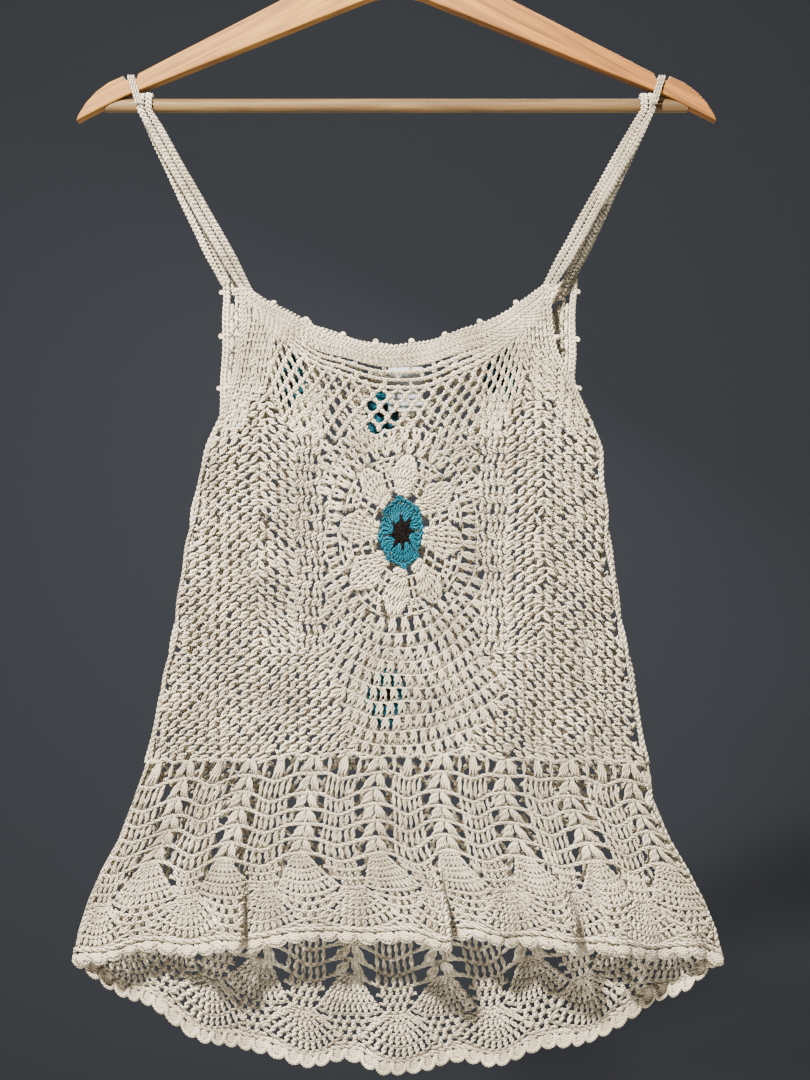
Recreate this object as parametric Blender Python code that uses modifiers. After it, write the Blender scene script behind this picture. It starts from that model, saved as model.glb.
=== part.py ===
"""A crochet camisole top hanging from a wooden hanger.

X runs to the right seen from the front, the front faces -Y and +Z is up. The origin is the inner top of the
hook. Lengths are in metres. The top is a flat tube: a front and a back panel that meet at the side seams, a
flared lace peplum on each, crocheted edgings, and two straps that pass over the hanger's bar.
"""

import math

import bmesh
import bpy
import numpy as np

SEAM_GAP = 0.0003
WALL = 0.002

# Hanger: a shaped beam 445 mm wide, a round bar and a wire hook whose inner top is the origin.
BEAM_THICKNESS = 0.012
BEAM_EDGE_ROUND = 0.001
BEAM_TOP = (
    # x, z along the upper edge of one arm, from the middle to the notch
    (0.000, -0.058),
    (0.012, -0.0605),
    (0.077, -0.0945),
    (0.150, -0.1321),
    (0.1795, -0.1474),
)
BEAM_NOTCH = (
    # x, z of the flat-bottomed notch that keeps a strap from slipping off
    (0.1805, -0.1508),
    (0.1890, -0.1520),
    (0.1900, -0.1490),
)
BEAM_TIP = (
    # x, z round the end of the arm
    (0.2000, -0.1535),
    (0.2090, -0.1600),
    (0.2160, -0.1677),
    (0.2215, -0.1765),
    (0.2225, -0.1800),
)
BEAM_UNDERSIDE = (
    # x, z along the lower edge, from the arm's end back to the middle
    (0.1880, -0.1627),
    (0.1300, -0.1395),
    (0.0175, -0.0945),
    (0.0000, -0.0905),
)
BAR_RADIUS = 0.0048
BAR_HALF_LENGTH = 0.203
BAR_HEIGHT = -0.1686
HOOK_INNER_RADIUS = 0.020
HOOK_WIRE_RADIUS = 0.00175
HOOK_SHANK_FOOT = -0.074
HOOK_OPEN_ANGLE = math.radians(215)

# Outline of the top. Each row is a height, then the left and right edge of the cloth at that height.
FRONT_OUTLINE = (
    # z, left, right
    (-0.295, -0.1085, 0.1075),
    (-0.318, -0.1090, 0.1090),
    (-0.339, -0.1120, 0.1130),
    (-0.360, -0.1170, 0.1210),
    (-0.374, -0.1205, 0.1290),
    (-0.388, -0.1234, 0.1355),
    (-0.409, -0.1327, 0.1428),
    (-0.430, -0.1383, 0.1445),
    (-0.472, -0.1453, 0.1488),
    (-0.521, -0.1537, 0.1565),
    (-0.556, -0.1593, 0.1630),
    (-0.584, -0.1663, 0.1684),
    (-0.627, -0.1745, 0.1752),
)
BACK_OUTLINE = (
    # z, left, right
    (-0.286, -0.1240, 0.1265),
    (-0.304, -0.1225, 0.1255),
    (-0.328, -0.1215, 0.1250),
    (-0.360, -0.1218, 0.1262),
    (-0.374, -0.1224, 0.1300),
) + FRONT_OUTLINE[5:]
PEPLUM_OUTLINE = (
    # z, left, right
    (-0.6273, -0.1747, 0.1754),
    (-0.6540, -0.1837, 0.1800),
    (-0.6810, -0.1942, 0.1914),
    (-0.7020, -0.2060, 0.2040),
    (-0.7230, -0.2152, 0.2145),
    (-0.7440, -0.2220, 0.2236),
    (-0.7640, -0.2262, 0.2280),
)
UNDERARM = -0.388
WAIST_SIDE = -0.627
FRONT_WAIST_RISE = 0.008
BACK_WAIST_DROP = 0.085
FRONT_NECK = {"middle": -0.0005, "half_width": 0.1023, "bottom": -0.3369, "depth": 0.0412}
BACK_NECK = {"middle": 0.0012, "half_width": 0.1175, "bottom": -0.3350, "depth": 0.0480}
NECK_POWER = 1.88
NECK_BAND_WIDTH = 0.0125
NECK_PICOTS = 8
PICOT_HEIGHT = 0.0035
ARMHOLE_BAND_WIDTH = 0.005
ARMHOLE_BAND_FOOT = 0.0015
ARMHOLE_BAND_ROWS = 9
ARMHOLE_PICOTS = (-0.298, -0.330, -0.366)
YOKE_ROWS = {"front": (0, 1, 2), "back": (3, 5)}
YOKE_SIDE_COLUMNS = 3
YOKE_RIM = 0.0017
YOKE_MARGIN = 0.010
SIDE_GAP_HALF = WALL / 2 + SEAM_GAP / 2
ARMHOLE_GAP_HALF = 0.0062
BODY_BULGE = 0.011
NECK_BULGE = 0.008
PEPLUM_BULGE = 0.013
BULGE_POWER = 2.6

# Peplum. Its stitch rows, from the seam down, are chain bars and the gap rows between them, then fan rows.
LADDER_ROWS = 6
CHAIN_BAR = 0.0026
LADDER_PITCH = 0.0108
FAN_ROWS = (0.0165, 0.0165)
LAST_GAP = 0.0055
LAST_BAR = 0.0045
REPEAT_COLUMNS = (
    # share of one repeat, and whether the gap rows are open there
    (0.28, False),
    (0.18, True),
    (0.18, False),
    (0.18, False),
    (0.18, True),
)
SHELL_HALF = 0.14
FRONT_REPEATS = 8
FRONT_REPEAT_START = 0.3
BACK_REPEATS = 7
BACK_REPEAT_START = 0.0
FRONT_HEM_SIDE = -0.7600
FRONT_HEM_RISE = 0.0185
BACK_HEM_DROP = 0.0780
BACK_HEM_POWER = 2.3
FRONT_FOLDS = (
    # place across the hem, half width, depth towards the front, where it starts down the peplum
    (0.060, 0.045, 0.006, 0.30),
    (0.225, 0.042, 0.015, 0.40),
    (0.350, 0.060, 0.004, 0.40),
    (0.535, 0.046, 0.021, 0.30),
    (0.640, 0.045, 0.009, 0.45),
    (0.738, 0.050, 0.024, 0.35),
    (0.862, 0.044, 0.020, 0.30),
    (0.950, 0.030, 0.007, 0.45),
)
BACK_FOLDS = (
    # place across the hem, half width, depth towards the back, where it starts down the peplum
    (0.090, 0.060, 0.006, 0.20),
    (0.250, 0.060, 0.008, 0.25),
    (0.420, 0.065, 0.009, 0.20),
    (0.590, 0.060, 0.010, 0.25),
    (0.760, 0.060, 0.008, 0.20),
    (0.910, 0.055, 0.006, 0.20),
)
BOBBLES = 44
BOBBLE_RADIUS = 0.0036
BOBBLE_NECK_RADIUS = 0.0024
BOBBLE_GAP = 0.0006

# Coloured motifs: a ring of eight points round a star, let into the panel.
MOTIF_POINTS = 8
RING_HALF_WIDTH = 0.0143
RING_HALF_HEIGHT = 0.0245
RING_NOTCH = 0.86
STAR_HALF_WIDTH = 0.0078
STAR_HALF_HEIGHT = 0.0092
STAR_NOTCH = 0.52
MOTIFS = {
    # x, z, size against the front motif
    "front": ((0.0035, -0.4669, 1.0),),
    "back": (
        (-0.0740, -0.3590, 0.80),
        (-0.0100, -0.3810, 0.80),
        (0.0740, -0.3570, 0.80),
        (-0.0070, -0.5840, 0.90),
    ),
}
LABEL = {"left": -0.0055, "right": 0.0185, "top": -0.3500, "bottom": -0.3810, "thickness": 0.0010}

# Straps: crocheted ribbons with a lengthwise groove, over the bar from the front corner to the back one.
STRAP_THICKNESS = 0.0025
STRAP_TOP_X = 0.1750
STRAP_FRONT_BASE = (0.1060, -0.2925)
STRAP_BACK_BASE = (0.1222, -0.2837)
STRAP_HALF_WIDTH = 0.0066
STRAP_BASE_HALF_WIDTH = 0.0038
STRAP_TAPER = 0.030
STRAP_LEG_ROWS = 7
STRAP_GROOVE = 0.0006
HANG_LOOP_THICKNESS = 0.0016
HANG_LOOP_HALF_WIDTH = 0.0028
HANG_LOOP_PATH = (
    # x, y and z down the front half of the loop, from over the notch to where it is sewn to the strap
    (0.1848, 0.0000, -0.1489),
    (0.1848, -0.0052, -0.1490),
    (0.1846, -0.0069, -0.1498),
    (0.1842, -0.0073, -0.1516),
    (0.1826, -0.0075, -0.1560),
    (0.1812, -0.0087, -0.1600),
    (0.1797, -0.0099, -0.1650),
    (0.1782, -0.0101, -0.1695),
)

MATERIALS = {
    # name: base colour, roughness, metallic
    "cream_yarn": ((0.50, 0.46, 0.38), 0.85, 0.0),
    "teal_yarn": ((0.045, 0.26, 0.30), 0.85, 0.0),
    "dark_yarn": ((0.03, 0.018, 0.013), 0.85, 0.0),
    "label_satin": ((0.20, 0.23, 0.23), 0.45, 0.0),
    "hanger_wood": ((0.72, 0.48, 0.28), 0.50, 0.0),
    "hook_wire": ((0.62, 0.62, 0.62), 0.25, 1.0),
}


def clear_scene():
    for obj in list(bpy.data.objects):
        bpy.data.objects.remove(obj, do_unlink=True)


def new_collection(name):
    collection = bpy.data.collections.new(name)
    bpy.context.scene.collection.children.link(collection)
    return collection


def material(name):
    found = bpy.data.materials.get(name)
    if found:
        return found
    colour, roughness, metallic = MATERIALS[name]
    made = bpy.data.materials.new(name)
    made.use_nodes = True
    shader = made.node_tree.nodes["Principled BSDF"]
    shader.inputs["Base Color"].default_value = (*colour, 1.0)
    shader.inputs["Roughness"].default_value = roughness
    shader.inputs["Metallic"].default_value = metallic
    return made


def place(obj, collection, material_name=None):
    collection.objects.link(obj)
    if material_name:
        obj.data.materials.append(material(material_name))
    return obj


def as_cutter(obj):
    obj.hide_render = True
    obj.display_type = "WIRE"
    return place(obj, cutters)


def smooth_curve(table, column, at):
    """Catmull-Rom curve through one column of a table whose first column falls from row to row."""
    knots = np.array([row[0] for row in table])
    values = np.array([row[column] for row in table])
    slopes = np.gradient(values, knots)
    at = np.clip(at, knots[-1], knots[0])
    low = np.clip(len(knots) - np.searchsorted(knots[::-1], at, side="right"), 1, len(knots) - 1) - 1
    span = knots[low + 1] - knots[low]
    t = (at - knots[low]) / span
    return (
        (2 * t**3 - 3 * t**2 + 1) * values[low]
        + (t**3 - 2 * t**2 + t) * span * slopes[low]
        + (3 * t**2 - 2 * t**3) * values[low + 1]
        + (t**3 - t**2) * span * slopes[low + 1]
    )


def ease(t):
    t = np.clip(t, 0.0, 1.0)
    return t * t * (3 - 2 * t)


def cloth(name, points, material_name, openings=None, insets=None, thickness=WALL):
    """Wall of even thickness on a grid of points, shape (rows, columns, 3).

    openings marks grid cells that are gaps from edge to edge, and insets maps cells to gaps with a rim.
    """
    rows, columns = points.shape[:2]
    bm = bmesh.new()
    bmesh.ops.create_grid(bm, x_segments=columns - 1, y_segments=rows - 1, size=1.0)
    across = (np.array([v.co.x for v in bm.verts]) + 1) / 2 * (columns - 1)
    down = (np.array([v.co.y for v in bm.verts]) + 1) / 2 * (rows - 1)
    faces = {}
    for face in bm.faces:
        centre = face.calc_center_median()
        cell = (int((centre.y + 1) / 2 * (rows - 1)), int((centre.x + 1) / 2 * (columns - 1)))
        faces[cell] = face
    for vert, column, row in zip(bm.verts, across, down):
        vert.co = points[int(round(row)), int(round(column))]
    gone = [faces[cell] for cell in openings or ()]
    if insets:
        rims = [faces[cell] for cell in insets["cells"]]
        bmesh.ops.inset_individual(bm, faces=rims, thickness=insets["rim"], use_even_offset=False)
        gone += rims
    if gone:
        bmesh.ops.delete(bm, geom=gone, context="FACES")
    mesh = bpy.data.meshes.new(name)
    bm.to_mesh(mesh)
    bm.free()
    obj = place(bpy.data.objects.new(name, mesh), parts, material_name)
    wall = obj.modifiers.new("Wall", "SOLIDIFY")
    wall.thickness = thickness
    wall.offset = 0.0
    mesh.shade_smooth()
    return obj


def neck_edge(neck, x):
    """Height of the neckline: lowest in the middle, rising to the straps as a power of the distance."""
    return neck["bottom"] + neck["depth"] * np.abs((x - neck["middle"]) / neck["half_width"]) ** NECK_POWER


def edge_depth(z):
    """Distance of the cloth's side edge from the middle plane: close at the seam, open at the armhole."""
    top = FRONT_OUTLINE[0][0]
    return SIDE_GAP_HALF + (ARMHOLE_GAP_HALF - SIDE_GAP_HALF) * ease((z - UNDERARM) / (top - UNDERARM))


def body_depth(u, z):
    """Distance of a body panel from the middle plane at u across: a low crown between the side seams."""
    crown = 1 - np.abs(2 * u - 1) ** BULGE_POWER
    bulge = NECK_BULGE + (BODY_BULGE - NECK_BULGE) * ease((-0.33 - z) / 0.09)
    return edge_depth(z) + bulge * crown


def armhole_band_width(z):
    grow = np.clip((z - UNDERARM) / 0.03, 0.0, 1.0)
    return ARMHOLE_BAND_FOOT + (ARMHOLE_BAND_WIDTH - ARMHOLE_BAND_FOOT) * grow


def panel_inset(z):
    """How far a body panel stays inside the outline, to leave room for the armhole band."""
    step = np.clip((z - UNDERARM) / 0.004 + 1.0, 0.0, 1.0)
    return (armhole_band_width(z) + SEAM_GAP) * step


def waist(side, u):
    """Height of the waist seam: a slight rise in the middle of the front, a deep drop in the back."""
    crown = 1 - np.abs(2 * u - 1) ** 2
    if side == "front":
        return WAIST_SIDE + FRONT_WAIST_RISE * crown
    return WAIST_SIDE - BACK_WAIST_DROP * crown


def body_point(side, outline, u, z):
    """Point of a body panel's middle surface at u across the panel and height z."""
    inset = panel_inset(z)
    left = smooth_curve(outline, 1, z) + inset
    right = smooth_curve(outline, 2, z) - inset
    x = left + u * (right - left)
    y = body_depth(u, z) * (-1 if side == "front" else 1)
    return np.stack([x, y, z], axis=-1)


def body_grid(side, outline, neck, columns, rows):
    """Grid of a body panel from under the neck band to the waist seam."""
    u = np.linspace(0, 1, columns + 1)
    v = np.linspace(0, 1, rows + 1) ** 1.15
    top = neck_edge(neck, neck["middle"] + (2 * u - 1) * neck["half_width"])
    for _ in range(6):
        x = body_point(side, outline, u, top)[:, 0]
        top = neck_edge(neck, x) - NECK_BAND_WIDTH - SEAM_GAP
    bottom = waist(side, u) + SEAM_GAP / 2
    z = top + v[:, None] * (bottom - top)
    return body_point(side, outline, np.broadcast_to(u, z.shape), z)


def panel_surface_y(side, x, z):
    """Depth of a body panel's middle surface at a given place."""
    outline = FRONT_OUTLINE if side == "front" else BACK_OUTLINE
    inset = panel_inset(z)
    left = smooth_curve(outline, 1, z) + inset
    right = smooth_curve(outline, 2, z) - inset
    return body_depth((x - left) / (right - left), z) * (-1 if side == "front" else 1)


def peplum_columns(repeats, start):
    """Places of the peplum's stitch columns across the piece, and whether each column's gap rows are open."""
    shares = [share for share, _ in REPEAT_COLUMNS]
    edges = np.cumsum([0.0] + shares)
    places = []
    for repeat in range(-1, repeats + 1):
        for edge, (share, is_open) in zip(edges, REPEAT_COLUMNS):
            places.append(((repeat + edge - SHELL_HALF - start) / repeats, is_open))
    margin = 0.004
    inner = [entry for entry in places if margin < entry[0] < 1 - margin]
    before = [entry for entry in places if entry[0] <= margin][-1]
    u = [0.0] + [entry[0] for entry in inner] + [1.0]
    is_open = [before[1]] + [entry[1] for entry in inner]
    wide_enough = np.diff(u) > 0.7 * 0.18 / repeats
    return np.array(u), np.array(is_open) & wide_enough


def peplum_rows():
    """Places of the peplum's rows from the seam (0) to the hem (1), and the kind of each row between them."""
    heights = []
    kinds = []
    for _ in range(LADDER_ROWS):
        heights += [CHAIN_BAR, LADDER_PITCH - CHAIN_BAR]
        kinds += ["bar", "gap"]
    for height in FAN_ROWS:
        heights.append(height)
        kinds.append("bar")
    heights += [LAST_GAP, LAST_BAR]
    kinds += ["gap", "bar"]
    v = np.cumsum([0.0] + heights)
    return v / v[-1], kinds


def hem(side, u):
    """Height of the peplum's lower edge: a little higher in the middle of the front, far lower in the back."""
    if side == "front":
        return FRONT_HEM_SIDE + FRONT_HEM_RISE * (1 - np.abs(2 * u - 1) ** 2)
    return FRONT_HEM_SIDE - BACK_HEM_DROP * (1 - np.abs(2 * u - 1) ** BACK_HEM_POWER)


def fold_depth(folds, u, v):
    """Sum of rounded ridges, each a squared cosine across and growing down from its start."""
    total = np.zeros(np.broadcast(u, v).shape)
    for middle, half_width, depth, start in folds:
        across = np.clip(np.abs(u - middle) / half_width, 0, 1)
        total += depth * np.cos(across * math.pi / 2) ** 2 * ease((v - start) / (1 - start))
    return total


def peplum_point(side, u, v):
    """Point of a peplum's middle surface at u across and v down."""
    top = waist(side, u) - SEAM_GAP / 2
    z = top + v * (hem(side, u) - top)
    edge_z = WAIST_SIDE + v * (FRONT_HEM_SIDE - WAIST_SIDE)
    left = smooth_curve(PEPLUM_OUTLINE, 1, edge_z)
    right = smooth_curve(PEPLUM_OUTLINE, 2, edge_z)
    x = left + u * (right - left)
    crown = 1 - np.abs(2 * u - 1) ** BULGE_POWER
    folds = FRONT_FOLDS if side == "front" else BACK_FOLDS
    bulge = BODY_BULGE + (PEPLUM_BULGE - BODY_BULGE) * v
    depth = SIDE_GAP_HALF + bulge * crown + fold_depth(folds, u, v)
    return np.stack([x, depth * (-1 if side == "front" else 1), z], axis=-1)


def make_body_panel(side):
    """Lace panel, its grid of points, and the yoke's net gaps cut through under the neck band."""
    if side == "front":
        columns, rows, outline, neck = 22, 16, FRONT_OUTLINE, FRONT_NECK
    else:
        columns, rows, outline, neck = 18, 15, BACK_OUTLINE, BACK_NECK
    points = body_grid(side, outline, neck, columns, rows)
    centres = (points[:-1, :-1] + points[1:, 1:]) / 2
    clear = np.ones(centres.shape[:2], bool)
    for x, z, size in MOTIFS[side]:
        across = (centres[..., 0] - x) / (RING_HALF_WIDTH * size + YOKE_MARGIN)
        up = (centres[..., 2] - z) / (RING_HALF_HEIGHT * size + YOKE_MARGIN)
        clear &= across**2 + up**2 > 1
    cells = []
    for row in YOKE_ROWS[side]:
        for column in range(YOKE_SIDE_COLUMNS, columns - YOKE_SIDE_COLUMNS):
            if clear[row, column]:
                cells.append((row, column))
    panel = cloth(side + "_panel", points, "cream_yarn", insets={"cells": cells, "rim": YOKE_RIM})
    return panel, points


def make_neck_band(side, panel_points):
    """Three firm rows along the neckline, with picots along the upper edge."""
    neck = FRONT_NECK if side == "front" else BACK_NECK
    columns = 3 * NECK_PICOTS + 1
    seam = panel_points[0]
    x = np.linspace(seam[0, 0], seam[-1, 0], columns + 1)
    bottom = np.interp(x, seam[:, 0], seam[:, 2]) + 3 * SEAM_GAP
    y = np.interp(x, seam[:, 0], seam[:, 1])
    top = neck_edge(neck, x)
    picots = np.zeros(columns + 1)
    for picot in range(NECK_PICOTS):
        picots[3 * picot + 2 : 3 * picot + 4] = PICOT_HEIGHT
    z = np.array([top + picots, (top + bottom) / 2, bottom])
    points = np.stack([np.broadcast_to(x, z.shape), np.broadcast_to(y, z.shape), z], axis=-1)
    return cloth(side + "_neck_band", points, "cream_yarn")


def make_armhole_band(side, hand, panel_points):
    """Narrow edging from the strap down to the underarm, with three picots."""
    outline = FRONT_OUTLINE if side == "front" else BACK_OUTLINE
    column, seam, inward = (1, panel_points[:, 0], 1) if hand == "left" else (2, panel_points[:, -1], -1)
    foot = UNDERARM + 2 * SEAM_GAP
    z = np.linspace(outline[0][0], foot, ARMHOLE_BAND_ROWS + 1)
    z = np.union1d(z, seam[seam[:, 2] > foot, 2])[::-1]
    inner = np.interp(z, seam[::-1, 2], seam[::-1, 0]) - inward * 2 * SEAM_GAP
    outer = smooth_curve(outline, column, z)
    outer = inner - inward * np.maximum(inward * (inner - outer), ARMHOLE_BAND_FOOT)
    for height in ARMHOLE_PICOTS:
        outer[np.argmin(np.abs(z - height))] -= inward * PICOT_HEIGHT
    y = edge_depth(z) * (-1 if side == "front" else 1)
    edges = [np.stack([x, y, z], axis=-1) for x in (outer, inner)]
    return cloth(f"{side}_armhole_band_{hand}", np.stack(edges, axis=1), "cream_yarn")


def make_peplum(side):
    """Flared lace skirt of the top: ladders and shells between open gaps, then fans down to the hem."""
    if side == "front":
        u, is_open = peplum_columns(FRONT_REPEATS, FRONT_REPEAT_START)
    else:
        u, is_open = peplum_columns(BACK_REPEATS, BACK_REPEAT_START)
    v, kinds = peplum_rows()
    points = peplum_point(side, np.broadcast_to(u, (len(v), len(u))), v[:, None])
    openings = []
    for row, kind in enumerate(kinds):
        if kind == "gap":
            openings += [(row, column) for column in np.flatnonzero(is_open)]
    return cloth(side + "_peplum", points, "cream_yarn", openings=openings)


def make_hem_edging(side):
    """Row of bobbles along the hem, as one cord whose radius swells at each bobble."""
    curve = bpy.data.curves.new(side + "_hem_edging", "CURVE")
    curve.dimensions = "3D"
    curve.bevel_depth = 1.0
    curve.bevel_resolution = 1
    curve.use_fill_caps = True
    curve.twist_mode = "Z_UP"
    count = 2 * BOBBLES + 1
    u = np.linspace(0.0, 1.0, count)
    path = peplum_point(side, u, np.ones(count))
    radius = np.where(np.arange(count) % 2 == 1, BOBBLE_RADIUS, BOBBLE_NECK_RADIUS)
    path[:, 2] -= BOBBLE_RADIUS + BOBBLE_GAP
    outward = -1 if side == "front" else 1
    path[:, 1] += outward * np.maximum(0.0, radius + SEAM_GAP - np.abs(path[:, 1]))
    spline = curve.splines.new("POLY")
    spline.points.add(count - 1)
    for point, position, size in zip(spline.points, path, radius):
        point.co = (*position, 1.0)
        point.radius = size
    return place(bpy.data.objects.new(curve.name, curve), parts, "cream_yarn")


def make_label():
    """Blank satin label, hung inside the back from under the neck band."""
    x = np.linspace(LABEL["left"], LABEL["right"], 3)
    z = np.linspace(LABEL["top"], LABEL["bottom"], 3)[:, None]
    x, z = np.broadcast_arrays(x, z)
    y = panel_surface_y("back", x, z) - WALL / 2 - SEAM_GAP - LABEL["thickness"] / 2
    points = np.stack([x, y, z], axis=-1)
    return cloth("neck_label", points, "label_satin", thickness=LABEL["thickness"])


def star_outline(half_width, half_height, notch, points=MOTIF_POINTS):
    """Closed star: points at full size, and the corners between them drawn in to the notch share."""
    angles = np.arange(2 * points) * math.pi / points + math.pi / 2
    size = np.where(np.arange(2 * points) % 2 == 0, 1.0, notch)
    return np.stack([half_width * size * np.cos(angles), half_height * size * np.sin(angles)], axis=-1)


def flat_solid(name, outlines, half_thickness):
    """Flat outline, with any further outlines as holes in it, drawn out to a plate."""
    curve = bpy.data.curves.new(name, "CURVE")
    curve.dimensions = "2D"
    curve.fill_mode = "BOTH"
    curve.extrude = half_thickness
    for outline in outlines:
        spline = curve.splines.new("POLY")
        spline.points.add(len(outline) - 1)
        for point, (a, b) in zip(spline.points, outline):
            point.co = (a, b, 0.0, 1.0)
        spline.use_cyclic_u = True
    return bpy.data.objects.new(name, curve)


def as_mesh(obj, collection, material_name=None):
    """Closed mesh copy of a curve object, which it replaces."""
    bpy.context.scene.collection.objects.link(obj)
    bpy.context.view_layer.update()
    graph = bpy.context.evaluated_depsgraph_get()
    mesh = bpy.data.meshes.new_from_object(obj.evaluated_get(graph))
    world = obj.matrix_world.copy()
    name = obj.name
    bpy.data.objects.remove(obj, do_unlink=True)
    bm = bmesh.new()
    bm.from_mesh(mesh)
    bmesh.ops.remove_doubles(bm, verts=bm.verts, dist=0.00001)
    bm.to_mesh(mesh)
    bm.free()
    mesh.name = name
    made = bpy.data.objects.new(name, mesh)
    made.matrix_world = world
    return place(made, collection, material_name)


def make_motif(name, side, panel, x, z, size):
    """Coloured ring and star, let into a hole of the panel and set square to its surface."""
    step = 0.005
    slope = (panel_surface_y(side, x + step, z) - panel_surface_y(side, x - step, z)) / (2 * step)
    y = panel_surface_y(side, x, z)
    ring = star_outline(RING_HALF_WIDTH * size, RING_HALF_HEIGHT * size, RING_NOTCH)
    hole = star_outline(STAR_HALF_WIDTH * size, STAR_HALF_HEIGHT * size, STAR_NOTCH)
    clearance = 1 + SEAM_GAP / (RING_HALF_WIDTH * size * 0.8)
    star_share = 1 - SEAM_GAP / (STAR_HALF_WIDTH * size * STAR_NOTCH * 0.8)
    ring_solid = flat_solid(name + "_ring", [ring, hole], WALL / 2)
    star_solid = flat_solid(name + "_star", [hole * star_share], WALL / 2)
    cutter = flat_solid(name + "_cutter", [ring * clearance], WALL * 3)
    for obj in (ring_solid, star_solid, cutter):
        obj.location = (x, y, z)
        obj.rotation_euler = (math.pi / 2, 0.0, math.atan(slope))
    place(ring_solid, parts, "teal_yarn")
    place(star_solid, parts, "dark_yarn")
    cutter = as_mesh(cutter, cutters)
    cutter.hide_render = True
    cutter.display_type = "WIRE"
    cut = panel.modifiers.new(name + "_hole", "BOOLEAN")
    cut.operation = "DIFFERENCE"
    cut.object = cutter


def ribbon(name, centres, widths, half_widths, groove, thickness):
    """Ribbon through centre points: each row is laid along its own width direction, with a groove between ribs."""
    shares = np.array([-1.0, -0.5, 0.0, 0.5, 1.0]) if groove else np.array([-1.0, 0.0, 1.0])
    lift = np.array([-0.4, 1.0, -1.0, 1.0, -0.4]) * groove if groove else np.zeros(3)
    along = np.gradient(centres, axis=0)
    normals = np.cross(along, widths)
    normals /= np.linalg.norm(normals, axis=1, keepdims=True)
    offsets = widths[:, None, :] * shares[None, :, None] * half_widths[:, None, None]
    points = centres[:, None, :] + offsets + normals[:, None, :] * lift[None, :, None]
    return cloth(name, points, "cream_yarn", thickness=thickness)


def make_strap(hand):
    """Strap from the front corner over the bar to the back corner."""
    sign = -1 if hand == "left" else 1
    turn = BAR_RADIUS + SEAM_GAP + STRAP_THICKNESS / 2 + STRAP_GROOVE
    legs = []
    for base, side in ((STRAP_FRONT_BASE, -1), (STRAP_BACK_BASE, 1)):
        share = np.linspace(0, 1, STRAP_LEG_ROWS)[:, None]
        foot = np.array([sign * base[0], side * ARMHOLE_GAP_HALF, base[1]])
        head = np.array([sign * STRAP_TOP_X, side * turn, BAR_HEIGHT - 0.004])
        legs.append(foot + share * (head - foot))
    angles = np.linspace(0, math.pi, 9)
    arch = np.stack(
        [
            np.full(9, sign * STRAP_TOP_X),
            -turn * np.cos(angles),
            BAR_HEIGHT + turn * np.sin(angles),
        ],
        axis=-1,
    )
    centres = np.concatenate([legs[0], arch, legs[1][::-1]])
    along = np.gradient(centres, axis=0)
    along[:, 1] = 0
    lean = np.arctan2(sign * along[:, 0], np.abs(along[:, 2]))
    upright = np.clip((centres[:, 2] - (BAR_HEIGHT - 0.030)) / 0.026, 0, 1)
    tilt = sign * np.abs(lean) * (1 - upright)
    widths = np.stack([np.cos(tilt), np.zeros(len(tilt)), -np.sin(tilt)], axis=-1)
    distance = np.minimum(
        np.linalg.norm(centres - centres[0], axis=1), np.linalg.norm(centres - centres[-1], axis=1)
    )
    widen = ease(distance / STRAP_TAPER)
    half = STRAP_BASE_HALF_WIDTH + (STRAP_HALF_WIDTH - STRAP_BASE_HALF_WIDTH) * widen
    return ribbon("strap_" + hand, centres, widths, half, STRAP_GROOVE, STRAP_THICKNESS)


def make_hang_loop(hand):
    """Narrow loop over the hanger's arm, its ends sewn to the strap."""
    sign = -1 if hand == "left" else 1
    front = np.array(HANG_LOOP_PATH) * (sign, 1, 1)
    back = front[1:] * (1, -1, 1)
    centres = np.concatenate([front[::-1], back])
    widths = np.tile([1.0, 0.0, 0.0], (len(centres), 1))
    half = np.full(len(centres), HANG_LOOP_HALF_WIDTH)
    return ribbon("hang_loop_" + hand, centres, widths, half, 0.0, HANG_LOOP_THICKNESS)


def cylinder(name, radius, depth, segments=24):
    bm = bmesh.new()
    bmesh.ops.create_cone(
        bm, cap_ends=True, segments=segments, radius1=radius, radius2=radius, depth=depth
    )
    mesh = bpy.data.meshes.new(name)
    bm.to_mesh(mesh)
    bm.free()
    mesh.shade_smooth()
    mesh.set_sharp_from_angle(angle=math.radians(40))
    return bpy.data.objects.new(name, mesh)


def make_hanger():
    """Wooden beam with its notches, the bar let into its arms and the hook screwed into its middle."""
    arm = BEAM_TOP + BEAM_NOTCH + BEAM_TIP + BEAM_UNDERSIDE
    right = np.array(arm)
    left = (right * (-1, 1))[::-1][1:-1]
    outline = np.concatenate([right, left])
    blank = flat_solid("hanger_beam", [outline], BEAM_THICKNESS / 2 - BEAM_EDGE_ROUND)
    blank.data.bevel_depth = BEAM_EDGE_ROUND
    blank.data.bevel_resolution = 1
    blank.data.offset = -BEAM_EDGE_ROUND
    blank.rotation_euler = (math.pi / 2, 0.0, 0.0)
    beam = as_mesh(blank, parts, "hanger_wood")
    beam.data.set_sharp_from_angle(angle=math.radians(30))

    bar = cylinder("hanger_bar", BAR_RADIUS, 2 * BAR_HALF_LENGTH, 20)
    place(bar, parts, "hanger_wood")
    socket = cylinder("bar_socket_cutter", BAR_RADIUS + SEAM_GAP, 2 * (BAR_HALF_LENGTH + SEAM_GAP), 20)
    as_cutter(socket)
    for obj in (bar, socket):
        obj.rotation_euler = (0.0, math.pi / 2, 0.0)
        obj.location = (0.0, 0.0, BAR_HEIGHT)
    shank_hole = cylinder("shank_hole_cutter", HOOK_WIRE_RADIUS + SEAM_GAP, 0.04, 16)
    shank_hole.location = (0.0, 0.0, HOOK_SHANK_FOOT - SEAM_GAP + 0.02)
    as_cutter(shank_hole)
    for cutter in (socket, shank_hole):
        cut = beam.modifiers.new(cutter.name, "BOOLEAN")
        cut.operation = "DIFFERENCE"
        cut.object = cutter


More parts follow.
